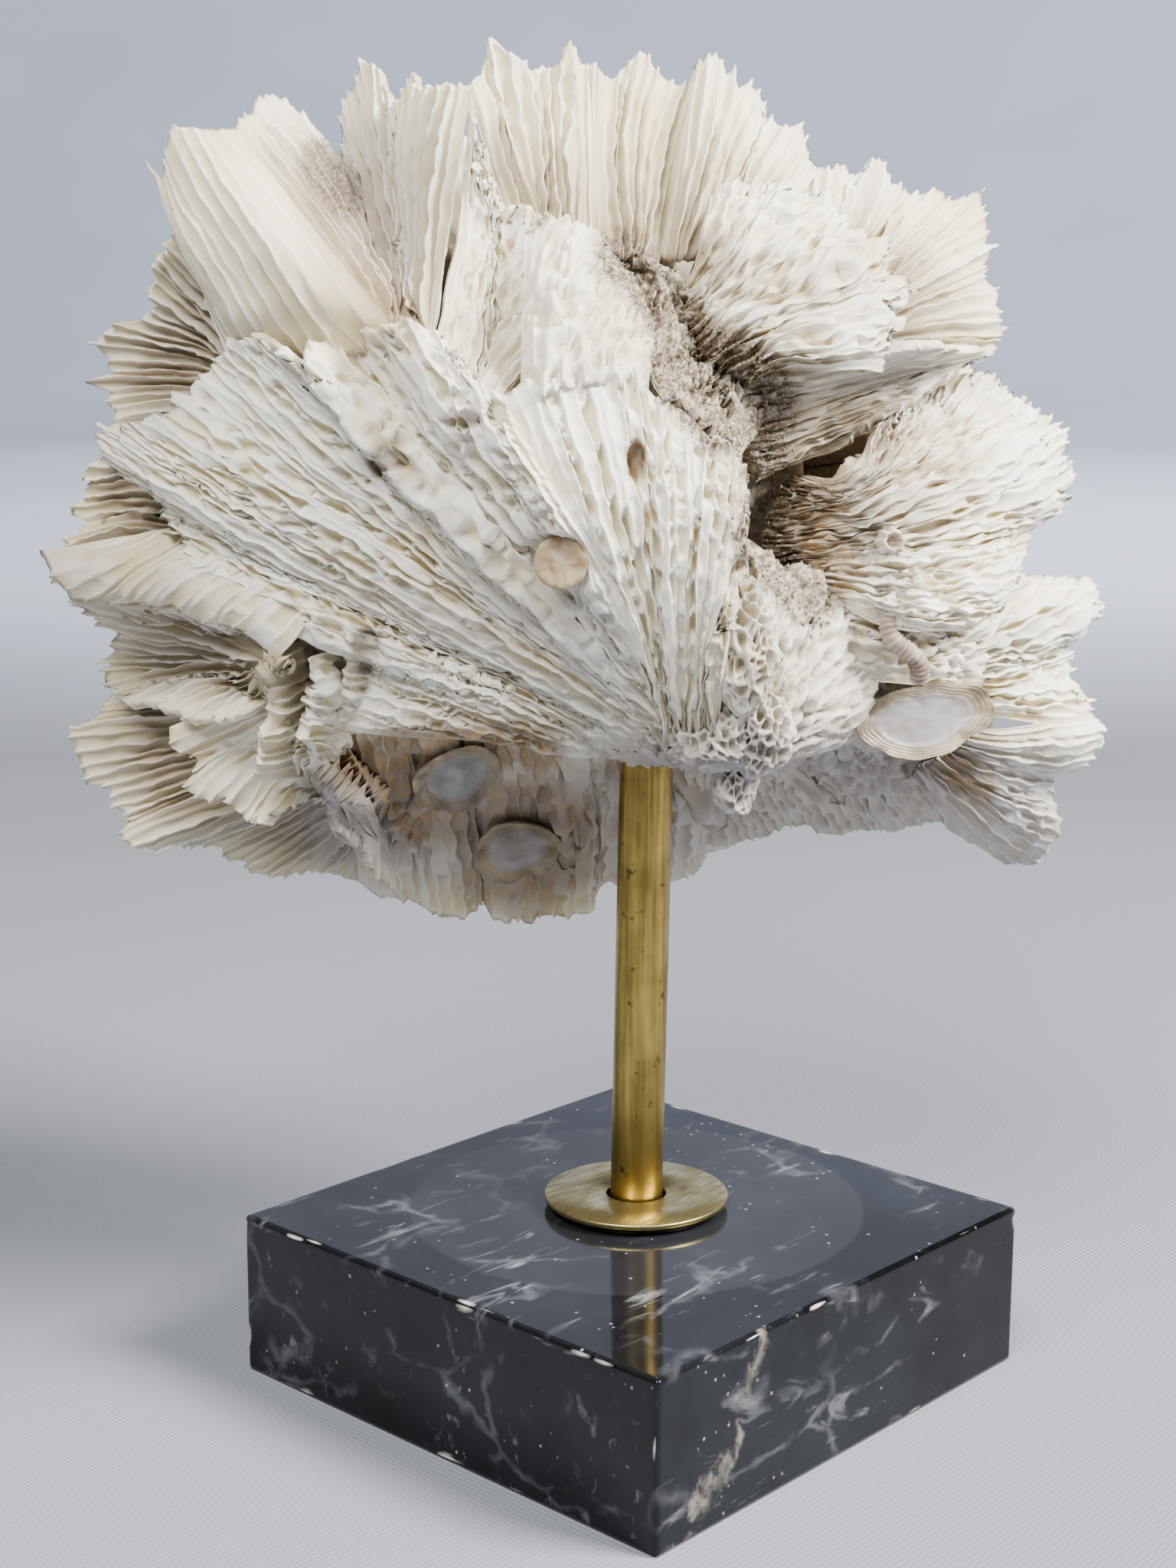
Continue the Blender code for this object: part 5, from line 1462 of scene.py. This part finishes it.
def shell_finish():
    """Oyster shell, cemented and weathered: a grey pearly hollow with blue and lilac clouds inside a
    chalky brown lip with growth lines."""
    made, tree, shader = finish_of("weathered oyster shell", Roughness=0.38, IOR=1.53)
    place = add(tree, "ShaderNodeTexCoord").outputs["Object"]
    lip = add(tree, "ShaderNodeAttribute", attribute_name="lip").outputs["Fac"]
    cloud = add(tree, "ShaderNodeTexNoise", {
        "Vector": place, "Scale": scale_of(4.35), "Detail": 5}).outputs["Fac"]
    pearl = add(tree, "ShaderNodeValToRGB", {"Fac": cloud}, [(0.32, "76706B"), (0.68, "A19FA1")])
    rim = add(tree, "ShaderNodeValToRGB", {"Fac": cloud}, [(0.35, "6C5E4A"), (0.65, "A4967F")])
    tone = layer(tree, pearl.outputs["Color"], [lip], 1.0, rim.outputs["Color"])
    tree.links.new(tone, shader.inputs["Base Color"])
    fine = add(tree, "ShaderNodeTexNoise", {
        "Vector": place, "Scale": scale_of(1.11), "Detail": 4}).outputs["Fac"]
    bump = add(tree, "ShaderNodeBump", {"Height": fine, "Strength": 0.3, "Distance": 0.0003})
    tree.links.new(bump.outputs["Normal"], shader.inputs["Normal"])
    return made


def plain_finish(name, first, second, roughness):
    """A dull surface in clouds of two colours, as lime, sand and dried glue have. The glue's near black is
    also painted shade for the gap under the collar.
    """
    made, tree, shader = finish_of(name, Roughness=roughness)
    place = add(tree, "ShaderNodeTexCoord").outputs["Object"]
    cloud = add(tree, "ShaderNodeTexNoise", {
        "Vector": place, "Scale": scale_of(3.33), "Detail": 5}).outputs["Fac"]
    tone = add(tree, "ShaderNodeValToRGB", {"Fac": cloud}, [(0.35, first), (0.65, second)])
    tree.links.new(tone.outputs["Color"], shader.inputs["Base Color"])
    return made


# The photograph's camera, floor and light

def camera():
    """The photograph's own camera."""
    data = bpy.data.cameras.new("camera")
    data.lens = CAMERA_LENS
    data.sensor_width = SENSOR
    made = bpy.data.objects.new("camera", data)
    bpy.context.scene.collection.objects.link(made)
    right, up = Vector(CAMERA_RIGHT), Vector(CAMERA_UP)
    turn = Matrix((right, up, right.cross(up))).transposed().to_4x4()
    made.matrix_world = Matrix.Translation(CAMERA_PLACE) @ turn
    bpy.context.scene.camera = made


def view_direction(right, near, up):
    """A direction given by the show side, in the part's own frame."""
    there, here = in_part(np.array([[right, near, up], [0, 0, 0]]) / MM)
    return Vector(there - here)


def soft_light(name, right, near, up, size, power, tint, target):
    """A square soft light that shines at a target. Both places are seen from the show side."""
    data = bpy.data.lights.new(name, "AREA")
    data.size = size
    data.energy = power
    data.color = colour(tint)[:3]
    made = bpy.data.objects.new(name, data)
    bpy.context.scene.collection.objects.link(made)
    made.location = view_direction(right, near, up)
    aim = view_direction(*target) - made.location
    made.rotation_mode = "QUATERNION"
    made.rotation_quaternion = aim.to_track_quat("-Z", "Y")


def surroundings():
    """A pale cloth that lies flat about the stand and curves up all round it, far outside every view."""
    cage = bmesh.new()
    profile = [(0.001, 0), (0.4, 0), (0.9, 0), (FLAT_REACH, 0)]
    for k in range(1, 13):
        turn = k / 12 * math.pi / 2
        profile.append((FLAT_REACH + SWEEP * math.sin(turn), SWEEP * (1 - math.cos(turn))))
    profile.append((FLAT_REACH + SWEEP, SWEEP + 1.0))
    corners = [cage.verts.new((out, 0, up)) for out, up in profile]
    edges = [cage.edges.new(pair) for pair in zip(corners[:-1], corners[1:])]
    bmesh.ops.spin(cage, geom=corners + edges, axis=(0, 0, 1), cent=(0, 0, 0), steps=96, angle=2 * math.pi)
    bmesh.ops.remove_doubles(cage, verts=cage.verts, dist=0.002)
    mesh = bpy.data.meshes.new("floor")
    cage.to_mesh(mesh)
    cage.free()
    mesh.polygons.foreach_set("use_smooth", [True] * len(mesh.polygons))
    mesh.materials.append(cloth_finish())
    floor = bpy.data.objects.new("floor", mesh)
    bpy.context.scene.collection.objects.link(floor)
    world = bpy.data.worlds.new("daylight")
    world.use_nodes = True
    bpy.context.scene.world = world
    sky = world.node_tree.nodes["Background"]
    sky.inputs["Color"].default_value = colour("D9DDE8")
    sky.inputs["Strength"].default_value = SKY_STRENGTH
    for light in LIGHTS:
        soft_light(*light)


def cloth_finish():
    """White cotton cloth, woven plain: matt, with its threads just to be seen close by. Real threads lie
    about half as far apart, which is too fine to show."""
    made, tree, shader = finish_of("white woven cotton", Roughness=0.95)
    place = add(tree, "ShaderNodeTexCoord").outputs["Object"]
    cloud = add(tree, "ShaderNodeTexNoise", {
        "Vector": place, "Scale": scale_of(333), "Detail": 3}).outputs["Fac"]
    tone = add(tree, "ShaderNodeValToRGB", {"Fac": cloud}, [(0.3, "82868F"), (0.7, "888C96")])
    tree.links.new(tone.outputs["Color"], shader.inputs["Base Color"])
    heights = []
    for axis in ("X", "Y"):
        heights.append(add(tree, "ShaderNodeTexWave", {
            "Vector": place, "Scale": math.pi / 10 * scale_of(THREAD), "Distortion": 1.5, "Detail": 2,
            "Detail Scale": 2},
            bands_direction=axis).outputs["Fac"])
    weave = add(tree, "ShaderNodeMath", {0: heights[0], 1: heights[1]}, operation="ADD").outputs[0]
    bump = add(tree, "ShaderNodeBump", {"Height": weave, "Strength": 0.25, "Distance": 0.0005})
    tree.links.new(bump.outputs["Normal"], shader.inputs["Normal"])
    return made


camera()
surroundings()
coral = coral_finish()
sand = plain_finish("sand and shell crumbs", "5C4A37", "AE9C84", 0.8)
for piece_name, leaves in PIECES.items():
    piece = coral_piece(piece_name, map(leaf_part, leaves), coral)
    if piece_name in GRITTY_PIECES:
        grains_piece(piece, sand)
seeds, valleys = back_seeds()
half_way = len(seeds) // 2
for piece_name, numbers in (
    ("coral_back_inner", range(half_way)),
    ("coral_back_outer", range(half_way, len(seeds))),
):
    coral_piece(piece_name, [valley_part(k, seeds, valleys) for k in numbers], coral)
core = (BACK_CENTRE, tuple(CORE_SHARE * reach for reach in BACK_REACH))
hearts = [(centre, tuple(reach - HEART_SHRINK for reach in radii)) for centre, radii in HEARTS]
bare = [hearts.pop(k) for k in sorted(BARE_HEARTS, reverse=True)]
# Each mass has its fineness, the size and height of its pores, and how deep it lies in the colony, which is
# painted on it as shade.
for piece_name, lumps, roughness in (
    ("coral_heart", hearts + [core], (4, 6.0, 1.4, 0.8)),
    ("coral_bare_mass", bare, (6, 2.9, 1.9, 0.35)),
    ("coral_foot", FOOT_LUMPS, (6, 1.8, 1.4, 0.2)),
):
    coral_piece(piece_name, [lump_part(lump, *roughness) for lump in lumps], coral)

shell = shell_finish()
for oyster_name in OYSTERS:
    oyster_piece(oyster_name, shell)
plate_piece(plain_finish("sandy barnacle plate", "8F7654", "CDB893", 0.75))
lime = plain_finish("weathered barnacle lime", "A3917C", "EAE2D2", 0.75)
barnacle_piece(lime)
worm_piece(plain_finish("worm tube lime", "7E6A5E", "AD9C90", 0.75))
block_piece(marble_finish())
stem_pieces(
    brass_finish("aged drawn brass", "7F6B37", "B79D55", 0.8, (1, 1, 0.04)),
    brass_finish("rubbed sheet brass", "A08D52", "D8CB92", 0.35, (1, 0.2, 1)),
    # Painted shade: the pad is near black so that it also stands for the shaded gap under the collar.
    plain_finish("glue and painted gap shade", "0A0A0B", "17171A", 0.3))
